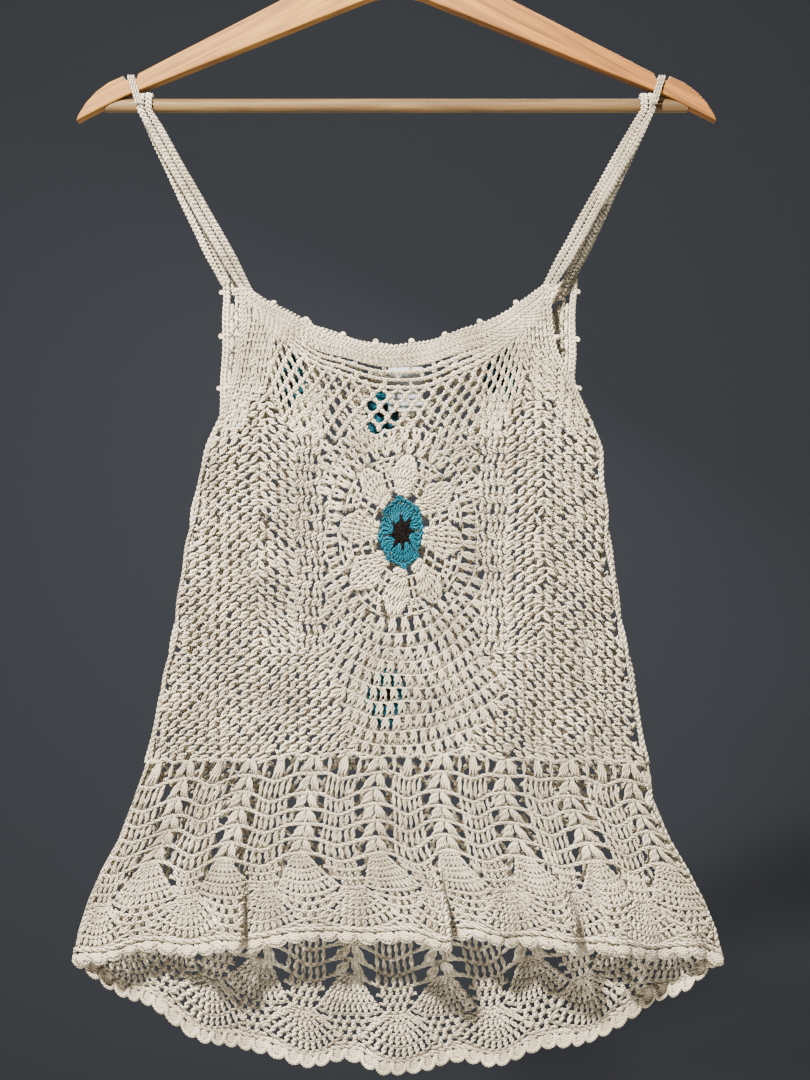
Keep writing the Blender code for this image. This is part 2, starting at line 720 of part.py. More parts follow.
def make_hook():
    """Plain wire hook: a straight shank, then three fifths of a circle open to one side."""
    radius = HOOK_INNER_RADIUS + HOOK_WIRE_RADIUS
    middle = -HOOK_INNER_RADIUS
    angles = np.linspace(-math.pi / 2 + 0.35, HOOK_OPEN_ANGLE, 22)
    bend = np.stack([radius * np.cos(angles), np.zeros(22), middle + radius * np.sin(angles)], axis=-1)
    shank = np.array(
        [(0.0, 0.0, HOOK_SHANK_FOOT), (0.0, 0.0, middle - radius - 0.008), (0.0020, 0.0, middle - radius - 0.003)]
    )
    path = np.concatenate([shank, bend])
    curve = bpy.data.curves.new("hanger_hook", "CURVE")
    curve.dimensions = "3D"
    curve.bevel_depth = HOOK_WIRE_RADIUS
    curve.bevel_resolution = 2
    curve.use_fill_caps = True
    spline = curve.splines.new("POLY")
    spline.points.add(len(path) - 1)
    for point, position in zip(spline.points, path):
        point.co = (*position, 1.0)
    return place(bpy.data.objects.new("hanger_hook", curve), parts, "hook_wire")


clear_scene()
parts = new_collection("crochet_top_on_hanger")
cutters = new_collection("cutters")

make_hanger()
make_hook()

for side in ("front", "back"):
    panel, panel_points = make_body_panel(side)
    for number, (x, z, size) in enumerate(MOTIFS[side], start=1):
        make_motif(f"{side}_motif_{number}", side, panel, x, z, size)
    make_neck_band(side, panel_points)
    for hand in ("left", "right"):
        make_armhole_band(side, hand, panel_points)
    make_peplum(side)
    make_hem_edging(side)

make_label()
for hand in ("left", "right"):
    make_strap(hand)
    make_hang_loop(hand)
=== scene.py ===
"""A crochet camisole top on a wooden hanger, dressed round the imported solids. Lengths are in metres."""

import math

import bpy
import numpy as np
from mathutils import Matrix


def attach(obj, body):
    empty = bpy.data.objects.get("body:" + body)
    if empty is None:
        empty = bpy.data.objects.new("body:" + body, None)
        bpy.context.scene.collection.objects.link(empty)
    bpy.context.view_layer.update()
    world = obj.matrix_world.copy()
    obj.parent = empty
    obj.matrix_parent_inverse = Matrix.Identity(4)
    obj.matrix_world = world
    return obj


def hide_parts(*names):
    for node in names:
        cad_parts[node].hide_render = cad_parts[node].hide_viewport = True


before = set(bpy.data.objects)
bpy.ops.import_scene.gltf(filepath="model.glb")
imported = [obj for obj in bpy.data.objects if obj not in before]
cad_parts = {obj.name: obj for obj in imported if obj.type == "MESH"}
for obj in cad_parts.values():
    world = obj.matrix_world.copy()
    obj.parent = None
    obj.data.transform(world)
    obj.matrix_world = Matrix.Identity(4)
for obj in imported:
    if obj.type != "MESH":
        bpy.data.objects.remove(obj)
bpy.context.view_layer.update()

# ------------------------------------------------------------------------------
# Camera, stage and lights. The camera looks level at the front of the top from 1.3 m away. The floor is
# plain and pale, the wall behind plain and a very dark grey. That darkness is partly painted shade: it stands
# in for the shadow the top would throw on a backdrop close behind it, which shows through the holes. Three
# lights stand round the camera and one behind the top.

CAMERA_PLACE = (0.006, -1.30, -0.4717)
CAMERA_ANGLE = math.radians(32.35)
SENSOR_HEIGHT = 24.0
FLOOR_HEIGHT = -1.35
WALL_DEPTH = 1.7
STAGE_HALF_WIDTH = 2.6
STAGE_FINISH = {"Roughness": 0.95, "Specular IOR Level": 0.2}
STAGE = (
    # name, y of its two edges, z of its two edges, colour
    ("floor", (-2.4, WALL_DEPTH), (FLOOR_HEIGHT, FLOOR_HEIGHT), (0.66, 0.66, 0.65, 1.0)),
    # The wall's very dark grey is partly painted shade, for the shadow the top would throw behind its holes.
    ("wall", (WALL_DEPTH, WALL_DEPTH), (FLOOR_HEIGHT, 2.2), (0.0128, 0.0146, 0.0190, 1.0)),
)
LIGHTS = (
    # name, place, target, width and height, watts, colour
    ("key", (-0.42, -1.05, 0.50), (0.0, 0.0, -0.45), (0.12, 0.09), 238.0, (1.0, 0.966, 0.890)),
    ("side_fill", (1.1, -1.0, -0.2), (0.0, 0.0, -0.5), (0.8, 1.2), 1.0, (0.93, 0.96, 1.0)),
    ("under_fill", (0.0, -1.0, -1.0), (0.0, 0.0, -0.6), (1.4, 0.3), 1.2, (1.0, 0.98, 0.95)),
    ("back_fill", (0.45, 1.25, 0.35), (0.0, 0.0, -0.5), (0.7, 0.7), 80.0, (1.0, 0.975, 0.94)),
)


def new_object(name, data):
    """An object with this data, linked into the scene."""
    made = bpy.data.objects.new(name, data)
    bpy.context.scene.collection.objects.link(made)
    return made


def add_camera():
    """Level camera; its lens is half the sensor's height over the tangent of half its upright angle."""
    lens = bpy.data.cameras.new("camera")
    lens.sensor_fit = "VERTICAL"
    lens.sensor_height = SENSOR_HEIGHT
    lens.lens = SENSOR_HEIGHT / 2 / math.tan(CAMERA_ANGLE / 2)
    lens.clip_start = 0.01
    camera = new_object("camera", lens)
    camera.location = CAMERA_PLACE
    camera.rotation_euler = (math.pi / 2, 0.0, 0.0)
    bpy.context.scene.camera = camera


def add_light(name, place, target, size, watts, colour):
    """Soft rectangular lamp that faces its target."""
    lamp = bpy.data.lights.new(name, "AREA")
    lamp.shape = "RECTANGLE"
    lamp.size, lamp.size_y = size
    lamp.energy = watts
    lamp.color = colour
    light = new_object(name, lamp)
    light.location = place
    x, y, z = np.array(target) - np.array(place)
    light.rotation_euler = (math.atan2(math.hypot(x, y), -z), 0.0, math.atan2(y, x) - math.pi / 2)


def fill(node, sockets):
    """Sockets by name: another node's output is linked in, and anything else is set as the value."""
    for name, value in sockets.items():
        if isinstance(value, bpy.types.NodeSocket):
            node.id_data.links.new(value, node.inputs[name])
        else:
            node.inputs[name].default_value = value


def new_material(name, sockets):
    """A material and its Principled shader, with the values that are the same all over."""
    made = bpy.data.materials.new(name)
    made.use_nodes = True
    shader = made.node_tree.nodes["Principled BSDF"]
    fill(shader, sockets)
    return made, shader


def grid_mesh(name, points, material):
    """Open sheet of quads on a grid of points, shape (rows, columns, 3)."""
    index = np.arange(points[..., 0].size).reshape(points.shape[:2])
    quads = np.stack([index[:-1, :-1], index[:-1, 1:], index[1:, 1:], index[1:, :-1]], axis=-1)
    mesh = bpy.data.meshes.new(name)
    mesh.from_pydata(points.reshape(-1, 3).tolist(), [], quads.reshape(-1, 4).tolist())
    mesh.shade_smooth()
    mesh.materials.append(material)
    return new_object(name, mesh)


add_camera()
x = np.array([-STAGE_HALF_WIDTH, STAGE_HALF_WIDTH])
for name, y, z, colour in STAGE:
    points = np.stack(np.broadcast_arrays(x[None, :], np.array(y)[:, None], np.array(z)[:, None]), axis=-1)
    paint, _ = new_material(name + "_paint", {"Base Color": colour, **STAGE_FINISH})
    grid_mesh(name, points, paint)
for light in LIGHTS:
    add_light(*light)
studio = bpy.data.worlds.new("studio")
studio.use_nodes = True
fill(studio.node_tree.nodes["Background"], {"Color": (0.80, 0.84, 0.90, 1.0), "Strength": 0.012})
bpy.context.scene.world = studio

# ------------------------------------------------------------------------------
# Hanger: a sawn and shaped wooden beam with a turned bar let into its arms, both waxed and matt.
# The grain of each arm runs along the arm, and the bar's grain along the bar.

ARM_SLOPE = math.atan2(0.0869, 0.1675)
ARM_WOOD = ((0.200, 0.093, 0.015), (0.072, 0.028, 0.004))
BAR_WOOD = ((0.088, 0.052, 0.018), (0.035, 0.018, 0.006))
RIGHT_ARM_WARMTH = 0.75


def add_node(shader, kind, output, sockets, **settings):
    """One output of a new node in the shader's material."""
    made = shader.id_data.nodes.new("ShaderNode" + kind)
    for key, value in settings.items():
        setattr(made, key, value)
    fill(made, sockets)
    return made.outputs[output]


def toned(shader, factor, low, high):
    """Colour ramp between two stops, each a place and a colour."""
    output = add_node(shader, "ValToRGB", "Color", {"Fac": factor})
    for stop, (place, colour) in zip(output.node.color_ramp.elements, (low, high)):
        stop.position = place
        stop.color = (*colour, 1.0)
    return output


def multiplied(shader, factor, first, second):
    """The first colour, darkened by the second as far as the factor says."""
    sockets = {"Factor": factor, "A": first, "B": second}
    return add_node(shader, "Mix", "Result", sockets, data_type="RGBA", blend_type="MULTIPLY")


def wood(name, colours, tilt, warmth):
    """Noise drawn out along the grain, darkened by finer pores, and a warmer tone towards +x.

    The grain lies at the angle tilt about Y.
    """
    made, shader = new_material(name, {"Specular IOR Level": 0.16})
    light, dark = colours
    where = add_node(shader, "TexCoord", "Object", {})

    def drawn_out(stretch, detail, distortion):
        """Noise over coordinates that are turned along the grain and scaled by the stretch."""
        turn = {"Vector": where, "Rotation": (0.0, -tilt, 0.0), "Scale": stretch}
        along = add_node(shader, "Mapping", "Vector", turn, vector_type="TEXTURE")
        sockets = {"Vector": along, "Scale": 1.0, "Detail": detail, "Distortion": distortion}
        return add_node(shader, "TexNoise", "Fac", sockets)

    grain = drawn_out((1 / 7, 1 / 60, 1 / 150), 6.0, 1.2)
    pores = drawn_out((1 / 30, 1 / 700, 1 / 1100), 3.0, 0.0)
    shade = toned(shader, pores, (0.30, (0.62, 0.50, 0.40)), (0.52, (1.0, 1.0, 1.0)))
    streaked = multiplied(shader, 0.75, toned(shader, grain, (0.30, dark), (0.62, light)), shade)
    x = add_node(shader, "SeparateXYZ", "X", {"Vector": where})
    reach = {"Value": x, "From Min": -0.02, "From Max": 0.12, "To Max": warmth}
    warm = add_node(shader, "MapRange", "Result", reach)
    rough = add_node(shader, "MapRange", "Result", {"Value": grain, "To Min": 0.55, "To Max": 0.75})
    bump = add_node(shader, "Bump", "Normal", {"Height": pores, "Strength": 0.25, "Distance": 0.0004})
    colour = multiplied(shader, warm, streaked, (0.72, 0.55, 0.36, 1.0))
    fill(shader, {"Base Color": colour, "Roughness": rough, "Normal": bump})
    return made


def dress_solid(name, materials, choose=None):
    """A CAD node's own material slots are filled; choose gives each face's slot from the face centres."""
    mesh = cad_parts[name].data
    mesh.materials.clear()
    for material in materials:
        mesh.materials.append(material)
    if choose:
        centres = np.empty(len(mesh.polygons) * 3)
        mesh.polygons.foreach_get("center", centres)
        mesh.polygons.foreach_set("material_index", choose(centres.reshape(-1, 3)).astype(np.int32))


left_arm_wood = wood("hanger_wood_left", ARM_WOOD, ARM_SLOPE, 0.0)
right_arm_wood = wood("hanger_wood_right", ARM_WOOD, -ARM_SLOPE, RIGHT_ARM_WARMTH)
dress_solid("hanger_beam", [left_arm_wood, right_arm_wood], lambda centres: centres[:, 0] > 0)
dress_solid("hanger_bar", [wood("bar_wood", BAR_WOOD, 0.0, 0.0)])

# ------------------------------------------------------------------------------
# Hook: bright drawn steel wire, bent round and screwed into the middle of the beam. Its roughness varies
# in fine specks.

hook_wire, shader = new_material("hook_wire", {"Base Color": (0.66, 0.66, 0.65, 1.0), "Metallic": 1.0})
where = add_node(shader, "TexCoord", "Object", {})
specks = add_node(shader, "TexNoise", "Fac", {"Vector": where, "Scale": 900.0, "Detail": 2.0})
rough = add_node(shader, "MapRange", "Result", {"Value": specks, "To Min": 0.16, "To Max": 0.34})
fill(shader, {"Roughness": rough})
dress_solid("hanger_hook", [hook_wire])

# ------------------------------------------------------------------------------
# Front flower, its heart: a dark eight-point star in a teal ring with a toothed edge, of two-ply matt cotton
# yarn. It is worked first, from the middle outwards. Here as in all the crochet, each stitch is laid out as
# strands in a flat chart (x, z, height above the cloth), swept to closed tubes and set on the body.

YARNS = (
    # name, lighter and darker colour, sheen
    ("cream_yarn", (0.68, 0.60, 0.448), (0.43, 0.365, 0.252), 0.25),
    ("teal_yarn", (0.002, 0.110, 0.165), (0.001, 0.045, 0.070), 0.02),
    ("dark_yarn", (0.0042, 0.0012, 0.0009), (0.0020, 0.0007, 0.0006), 0.0),
)
TWIST_LENGTH = 0.0028
# Edges of the front cloth by height: z, left x, right x.
FRONT_OUTLINE = (
    (-0.295, -0.1085, 0.1075),
    (-0.318, -0.1090, 0.1090),
    (-0.339, -0.1120, 0.1130),
    (-0.360, -0.1170, 0.1210),
    (-0.374, -0.1205, 0.1290),
    (-0.388, -0.1234, 0.1355),
    (-0.409, -0.1327, 0.1428),
    (-0.430, -0.1383, 0.1445),
    (-0.472, -0.1453, 0.1488),
    (-0.521, -0.1537, 0.1565),
    (-0.556, -0.1593, 0.1630),
    (-0.584, -0.1663, 0.1684),
    (-0.627, -0.1745, 0.1752),
)
OUTLINE = {"front": np.array(FRONT_OUTLINE)}
SHOULDER = -0.295
UNDERARM = -0.388
SIDE_GAP_HALF = 0.00115
ARMHOLE_GAP_HALF = 0.0062
BODY_BULGE = 0.011
NECK_BULGE = 0.008
BULGE_POWER = 2.6
CHEST = -0.33
CHEST_REACH = 0.09
FLOWER_MIDDLE = np.array([0.0035, -0.4669])
FLOWER_TURN = math.radians(3)


def yarn_material(name, light, dark, sheen):
    """Cotton yarn: slanting ply ridges on the strand's own UV, painted shade darkening the grooves between
    the plies, fuzz, and slow random shifts of tone.
    """
    even = {"Roughness": 0.88, "Specular IOR Level": 0.10, "Sheen Weight": sheen, "Sheen Roughness": 0.5}
    made, shader = new_material(name, even)
    where = add_node(shader, "TexCoord", "Object", {})
    strand_uv = add_node(shader, "TexCoord", "UV", {})
    turn = {"Vector": strand_uv, "Rotation": (0.0, 0.0, math.radians(45))}
    slant = add_node(shader, "Mapping", "Vector", turn)
    ridges = {"Vector": slant, "Scale": 0.9, "Distortion": 1.4, "Detail": 2.0}
    plies = add_node(shader, "TexWave", "Fac", ridges)
    fuzz = add_node(shader, "TexNoise", "Fac", {"Vector": where, "Scale": 2600.0, "Detail": 3.0})
    shift = add_node(shader, "TexNoise", "Fac", {"Vector": where, "Scale": 34.0, "Detail": 3.0})
    # Painted shade: a mask that is strongest in the grooves between the plies, where shade would fall.
    groove = {"Value": plies, "From Min": 0.75, "From Max": 0.1, "To Max": 0.85}
    depth = add_node(shader, "MapRange", "Result", groove)
    tone = toned(shader, shift, (0.32, dark), (0.62, light))
    ridge = add_node(shader, "Bump", "Normal", {"Height": plies, "Strength": 0.9, "Distance": 0.0006})
    fibres = {"Height": fuzz, "Strength": 0.35, "Distance": 0.0002, "Normal": ridge}
    # The ply grooves' painted shade: the base colour is darkened towards (0.30, 0.25, 0.19) by that mask.
    colour = multiplied(shader, depth, tone, (0.30, 0.25, 0.19, 1.0))
    fill(shader, {"Base Color": colour, "Normal": add_node(shader, "Bump", "Normal", fibres)})
    return made


def unit(vectors):
    """Vectors over their own length."""
    return vectors / np.maximum(np.linalg.norm(vectors, axis=-1, keepdims=True), 1e-9)


def square_to(along):
    """Unit directions in the chart, a quarter turn to the left of the given ones."""
    return unit(np.stack([-along[:, 1], along[:, 0]], axis=-1))


def chords(start, end, t):
    """Points at the shares t of each chord, and the direction across it; start and end have shape (n, 2)."""
    start, end = np.atleast_2d(start), np.atleast_2d(end)
    along = end - start
    return start[:, None, :] + along[:, None, :] * t[None, :, None], square_to(along)[:, None, :]


def strand(flat, height, radius, sides=3):
    """Paths with a height and a radius at each point, and the number of sides of their tubes."""
    shape = flat.shape[:2]
    paths = np.concatenate([flat, np.broadcast_to(height, shape)[..., None]], axis=-1)
    return paths, np.broadcast_to(radius, shape), sides


def posts(start, end, ply=0.0008, turns=0.9, lift=0.0, arch=0.0005, rings=5):
    """Two plies twisted round each chord from start to end; both rise by arch in the middle.

    The plies sit opposite each other on a flattened circle of about the ply's radius.
    """
    t = np.linspace(0, 1, rings)
    centre, across = chords(start, end, t)
    count = len(centre)
    lift = lift + 0.00015 * noise.normal(size=count).clip(-2, 2)
    plump = 1 + 0.11 * noise.normal(size=(count, 1)).clip(-2, 2)
    radius = ply * plump * (0.72 + 0.28 * np.sin(math.pi * t) ** 0.5)
    strands = []
    for phase in (0.0, math.pi):
        angle = 2 * math.pi * turns * t + phase + 0.6
        flat = centre + across * (ply * 0.92 * np.cos(angle))[:, None]
        height = lift[:, None] + (arch * np.sin(math.pi * t) + ply * 0.62 * np.sin(angle))
        strands.append(strand(flat, height, radius))
    return strands


def links(start, end, ply=0.0007, spread=0.0008, lift=0.0006):
    """Chain stitches: from start to end two plies bow apart and cross, one over the other."""
    t = np.linspace(0, 1, 4)
    centre, across = chords(start, end, -0.08 + 1.16 * t)
    bow = np.sin(math.pi * t)
    strands = []
    for way in (-1.0, 1.0):
        flat = centre + across * (way * spread * np.cos(math.pi * t))[:, None]
        height = lift + (way * 0.35 * ply + 0.35 * ply * bow)
        strands.append(strand(flat, height, ply * (0.75 + 0.25 * bow)))
    return strands


def reach_along(paths):
    """Distance from the start of each path to each of its points: the sum of the steps so far."""
    step = np.linalg.norm(np.diff(paths, axis=-2), axis=-1)
    return np.concatenate([np.zeros((*step.shape[:-1], 1)), np.cumsum(step, axis=-1)], axis=-1)


def sweep(strands):
    """Closed tubes: rings of points square to each path, quads between them and a cap at each end.

    The UV grows along the strand with the twist, and once round the tube. It is zero on the caps.
    """
    points, quads, caps, uvs = [], [], [], []
    first = 0
    for paths, radii, sides in strands:
        count, rings = paths.shape[:2]
        along = unit(np.gradient(paths, axis=1))
        side = unit(np.stack([along[..., 1], -along[..., 0], np.zeros((count, rings))], axis=-1))
        up = np.cross(side, along)
        angle = np.arange(sides) * 2 * math.pi / sides + (math.pi / 2 if sides == 3 else math.pi / 4)
        ring = side[:, :, None, :] * np.cos(angle)[:, None] + up[:, :, None, :] * np.sin(angle)[:, None]
        points.append((paths[:, :, None, :] + ring * radii[:, :, None, None]).reshape(-1, 3))
        index = first + np.arange(count * rings * sides).reshape(count, rings, sides)
        first += index.size
        turned = np.roll(index, -1, axis=2)
        corners = [index[:, :-1], index[:, 1:], turned[:, 1:], turned[:, :-1]]
        quads.append(np.stack(corners, axis=-1).reshape(-1, 4))
        caps.append(np.concatenate([index[:, 0], index[:, -1, ::-1]]))
        reach = reach_along(paths) / TWIST_LENGTH
        reach = np.stack([reach[:, :-1], reach[:, 1:], reach[:, 1:], reach[:, :-1]], axis=-1)
        turn = (np.arange(sides)[:, None] + (0, 0, 1, 1)) / sides
        uvs.append(np.stack(np.broadcast_arrays(reach[:, :, None, :], turn), axis=-1).reshape(-1, 2))
    uvs.append(np.zeros((sum(cap.size for cap in caps), 2)))
    return np.concatenate(points), quads + caps, np.concatenate(uvs)


def uneven(points, amount):
    """Hand work: slow waves a few centimetres long carry the stitches a little off their even places."""
    a, b, height = points.T
    along_a = np.sin(a / 0.0093 + 1.7 * np.sin(b / 0.021)) + 0.6 * np.sin(b / 0.0071 + 2.3)
    along_b = np.sin(b / 0.0105 + 1.9 * np.sin(a / 0.0187)) + 0.6 * np.sin(a / 0.0063 + 0.7)
    return np.stack([a + amount * along_a, b + amount * along_b, height], axis=-1)


def yarn_piece(name, strands, place, stands_for=None, yarn="cream_yarn", waver=0.0010):
    """One mesh of all the strands, carried from the chart to the cloth by place."""
    points, faces, uvs = sweep(strands)
    points = place(uneven(points, waver))
    corners = np.concatenate([block.reshape(-1) for block in faces])
    sizes = np.concatenate([np.full(len(block), block.shape[1]) for block in faces])
    mesh = bpy.data.meshes.new(name)
    mesh.vertices.add(len(points))
    mesh.vertices.foreach_set("co", points.astype(np.float32).reshape(-1))
    mesh.loops.add(len(corners))
    mesh.loops.foreach_set("vertex_index", corners.astype(np.int32))
    mesh.polygons.add(len(sizes))
    mesh.polygons.foreach_set("loop_start", (np.cumsum(sizes) - sizes).astype(np.int32))
    mesh.update(calc_edges=True)
    layer = mesh.uv_layers.new(name="strand")
    layer.data.foreach_set("uv", uvs.astype(np.float32).reshape(-1))
    mesh.shade_smooth()
    mesh.materials.append(yarns[yarn])
    made = new_object(name, mesh)
    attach(made, "root")
    if stands_for:
        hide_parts(stands_for)
    return made


def ease(t):
    """Smooth step from 0 to 1: three times t squared, less two times t cubed."""
    t = np.clip(t, 0.0, 1.0)
    return t * t * (3 - 2 * t)


def edge_at(side, column, z):
    """Left (column 1) or right (column 2) edge of a panel, read along its outline."""
    return np.interp(-np.asarray(z), -OUTLINE[side][:, 0], OUTLINE[side][:, column])


def crown(u, power=2):
    """Zero at both edges (u = 0 and 1) and one in the middle."""
    return 1 - np.abs(2 * u - 1) ** power


def body_depth(side, x, z):
    """Distance of a body panel from the middle plane: the edge's own gap and a crown between the edges."""
    left, right = edge_at(side, 1, z), edge_at(side, 2, z)
    u = np.clip((x - left) / (right - left), 0.0, 1.0)
    gap = SIDE_GAP_HALF + (ARMHOLE_GAP_HALF - SIDE_GAP_HALF) * ease((z - UNDERARM) / (SHOULDER - UNDERARM))
    bulge = NECK_BULGE + (BODY_BULGE - NECK_BULGE) * ease((CHEST - z) / CHEST_REACH)
    return gap + bulge * crown(u, BULGE_POWER)


def on_front(points):
    """Chart (x, z, height) to the front panel, heights towards the viewer."""
    x, z, height = points.T
    return np.stack([x, -body_depth("front", x, z) - height, z], axis=-1)


def oval(middle, angle, across, up, down=None):
    """Points of an oval whose upper and lower halves may differ in height."""
    tall = np.where(np.sin(angle) > 0, up, up if down is None else down)
    return middle + np.stack([across * np.cos(angle), tall * np.sin(angle)], axis=-1)


def heart_rounds(middle, size):
    """Strands of a star and of its ring: radial posts in fans, chains round them and a toothed edge."""
    tips = math.pi / 2 + FLOWER_TURN + np.arange(8) * math.pi / 4
    star = []
    points = oval(middle, tips, 0.0082 * size, 0.0118 * size)
    for swing in (-0.20, 0.20):
        start = oval(middle, tips + swing, 0.0034 * size, 0.0040 * size)
        star += posts(start, points, ply=0.00068 * size, lift=0.0014)
    core = np.arange(12) * math.pi / 6
    for across, up, ply in ((0.0052, 0.0066, 0.0011), (0.0030, 0.0036, 0.0009)):
        start = oval(middle, core, 0.0003, 0.0003)
        star += posts(start, oval(middle, core, across * size, up * size), ply=ply * size, lift=0.0010)
    fan = (tips[:, None] + math.pi / 8 + np.array([-0.27, -0.09, 0.09, 0.27])).reshape(-1)
    teal = []
    rows = ((0.0055, 0.0070), (0.0104, 0.0150), 0.0002), ((0.0094, 0.0136), (0.0130, 0.0208), 0.0)
    for low, high, lift in rows:
        start, end = (oval(middle, fan, *np.array(reach) * size) for reach in (low, high))
        teal += posts(start, end, ply=0.00096 * size, lift=lift)
    ring = oval(middle, np.linspace(0, 2 * math.pi, 29), 0.0131 * size, 0.0216 * size)
    teal += links(ring[:-1], ring[1:], ply=0.0011 * size, spread=0.0008 * size)
    teeth = oval(middle, tips, 0.0162 * size, 0.0256 * size)
    for swing in (-0.13, 0.13):
        start = oval(middle, tips + swing, 0.0130 * size, 0.0216 * size)
        teal += posts(start, teeth, ply=0.0009 * size, lift=0.0010)
    return star, teal


noise = np.random.default_rng(4)
yarns = {name: yarn_material(name, light, dark, sheen) for name, light, dark, sheen in YARNS}
star, teal = heart_rounds(FLOWER_MIDDLE, 1.0)
front_star = yarn_piece("front_star", star, on_front, "front_motif_1_star", "dark_yarn")
front_teal = yarn_piece("front_teal_ring", teal, on_front, "front_motif_1_ring", "teal_yarn")

# ------------------------------------------------------------------------------
# Front flower, petals and rounds, in cream yarn. Eight solid fans grow from puffy feet round the teal ring,
# with lines of small holes between them. Rounds of net follow, wider and taller, until they meet the sides.

# Across, up and down, of the inner and the outer edge of the petals.
PETAL_SIZES = ((0.0143, 0.0245, 0.0245), (0.0430, 0.0540, 0.0590))
PETAL_TURN = math.radians(83.5)
PETAL_ROWS = (
    # share of the radius at foot and head, posts, half angle at foot and head, ply
    (0.02, 0.19, 3, 0.14, 0.17, 0.00165),
    (0.20, 0.44, 5, 0.15, 0.22, 0.00112),
    (0.45, 0.71, 7, 0.22, 0.27, 0.00104),
    (0.72, 1.00, 7, 0.26, 0.18, 0.00104),
)
# Bars across the gap between two petals: share of the radius, half angle.
PETAL_BRIDGES = ((0.20, 0.19), (0.45, 0.15), (0.70, 0.12), (0.84, 0.16), (0.98, 0.22))
# Webs that close each gap towards the petals' edge: half angles, and shares of the radius.
PETAL_WEBS = np.array([0.07, 0.10, 0.17]), np.array([0.68, 0.83, 0.98])
FIRST_ROUND = np.array([0.0430, 0.0545, 0.0595])
ROUND_STEP = np.array([0.0093, 0.0082, 0.0096])
ROUNDS = 13
ROUND_PITCH = 0.0071
# The waist seam: its height at the sides, its width, and how far its middle lies above them.
WAIST_SIDE = -0.627
WAIST_WIDTH = 0.3497
WAIST_LIFT = {"front": 0.008, "back": -0.085}
SEAM_OVERLAP = 0.0045
# How far the flower's ground reaches to the left and to the right of its middle: depths, reaches.
GROUND_REACH = (
    ((0.549, 0.575, 0.600, 0.620), (0.057, 0.049, 0.040, 0.036)),
    ((0.549, 0.562, 0.585, 0.600, 0.620), (0.057, 0.077, 0.072, 0.059, 0.047)),
)
# Lower edge of the yoke: distance from the middle, z.
YOKE_FOOT = np.array(
    [
        (0.000, -0.3905),
        (0.030, -0.3930),
        (0.050, -0.4010),
        (0.065, -0.4000),
        (0.078, -0.3860),
        (0.090, -0.3600),
        (0.100, -0.3250),
        (0.110, -0.3000),
    ]
)


def petal_oval(middle, angle, t, size):
    """Point at share t from the teal edge (0) to the petals' outer edge (1), each with its own size."""
    inner, outer = np.array(PETAL_SIZES) * np.array(size)[:, None]
    across, up, down = np.moveaxis(inner + (outer - inner) * np.asarray(t)[..., None], -1, 0)
    return oval(middle, angle, across, up, down)


def petal_fans(middle, size, first, rows):
    """Eight fans of posts in rows, and the bars, spine and webs of the gaps between them."""
    strands = []
    for number in range(8):
        axis = first - number * math.pi / 4
        for low, high, count, half_low, half_high, ply in rows:
            round_off = 0.11 + 0.16 * (high > 0.9)
            share = np.linspace(-1, 1, count)
            start = petal_oval(middle, axis + share * half_low, low * (1 - 0.11 * share * share), size)
            end = petal_oval(middle, axis + share * half_high, high * (1 - round_off * share * share), size)
            strands += posts(start, end, ply=ply, arch=0.0008, lift=0.0002)
            share = np.linspace(-1.05, 1.05, count + 1)
            cap = petal_oval(middle, axis + share * half_high, high * (1 - round_off * share * share), size)
            strands += links(cap[:-1], cap[1:], ply=0.00074, lift=0.0001)
        gap = axis + math.pi / 8
        for t, half in PETAL_BRIDGES:
            bridge = petal_oval(middle, gap + np.array([-half, 0, half]), np.full(3, t), size)
            strands += links(bridge[:-1], bridge[1:])
        spine = petal_oval(middle, np.full(4, gap), np.array([0.20, 0.45, 0.70, 0.96]), size)
        strands += posts(spine[:-1], spine[1:], arch=0.0)
        for way in (-1, 1):
            web = petal_oval(middle, gap + way * PETAL_WEBS[0], PETAL_WEBS[1], size)
            strands += posts(web[:-1], web[1:], ply=0.00090)
    return strands


def kept(start, end, inside):
    """Only the strands whose two ends and middle all pass the test."""
    keep = np.all([inside(*spot.T) for spot in (start, end, (start + end) / 2)], axis=0)
    return start[keep], end[keep]


def spaced_angles(sizes, pitch):
    """Angles of points at even distance round an oval."""
    fine = np.linspace(0, 2 * math.pi, 721)
    reach = reach_along(oval(np.zeros(2), fine, *sizes))
    count = int(round(reach[-1] / pitch))
    return np.interp(np.arange(count) * reach[-1] / count, reach, fine)


def round_of_net(sizes, shifted):
    """One round: pairs of radial posts from the oval to the next one out, and a chain along the outer one."""
    angle = spaced_angles(sizes, ROUND_PITCH)
    angle = angle + shifted * (angle[1] - angle[0]) / 2
    larger = sizes + ROUND_STEP
    start, end = oval(FLOWER_MIDDLE, angle, *sizes), oval(FLOWER_MIDDLE, angle, *larger)
    start = start + (end - start) * 0.04
    wobble = noise.normal(0, 0.00035, (len(start), 2))
    start, end = kept(start + wobble, end - wobble * 0.6, in_rounds)
    side = square_to(end - start)
    strands = posts(start - side * 0.0006, end - side * 0.0019, ply=0.00092, lift=0.0004)
    strands += posts(start + side * 0.0006, end + side * 0.0019, ply=0.00092, lift=0.0004)
    ring = oval(FLOWER_MIDDLE, np.append(angle, angle[0] + 2 * math.pi), *larger)
    between = (ring[:-1] + ring[1:]) / 2
    peak = between + unit(between - FLOWER_MIDDLE) * 0.0020
    for first, last in ((ring[:-1], peak), (peak, ring[1:])):
        strands += links(*kept(first, last, in_rounds), ply=0.00088, lift=-0.0002)
    return strands


def yoke_foot(x):
    """Lower edge of the front yoke, where the flower's rounds and the side pieces begin."""
    return np.interp(np.abs(x), *YOKE_FOOT.T)


def waist(side, x):
    """Height of the waist seam over the panel's width: its own at the sides, lifted by a crown between."""
    u = np.clip((x - edge_at("front", 1, WAIST_SIDE)) / WAIST_WIDTH, 0, 1)
    return WAIST_SIDE + WAIST_LIFT[side] * crown(u)


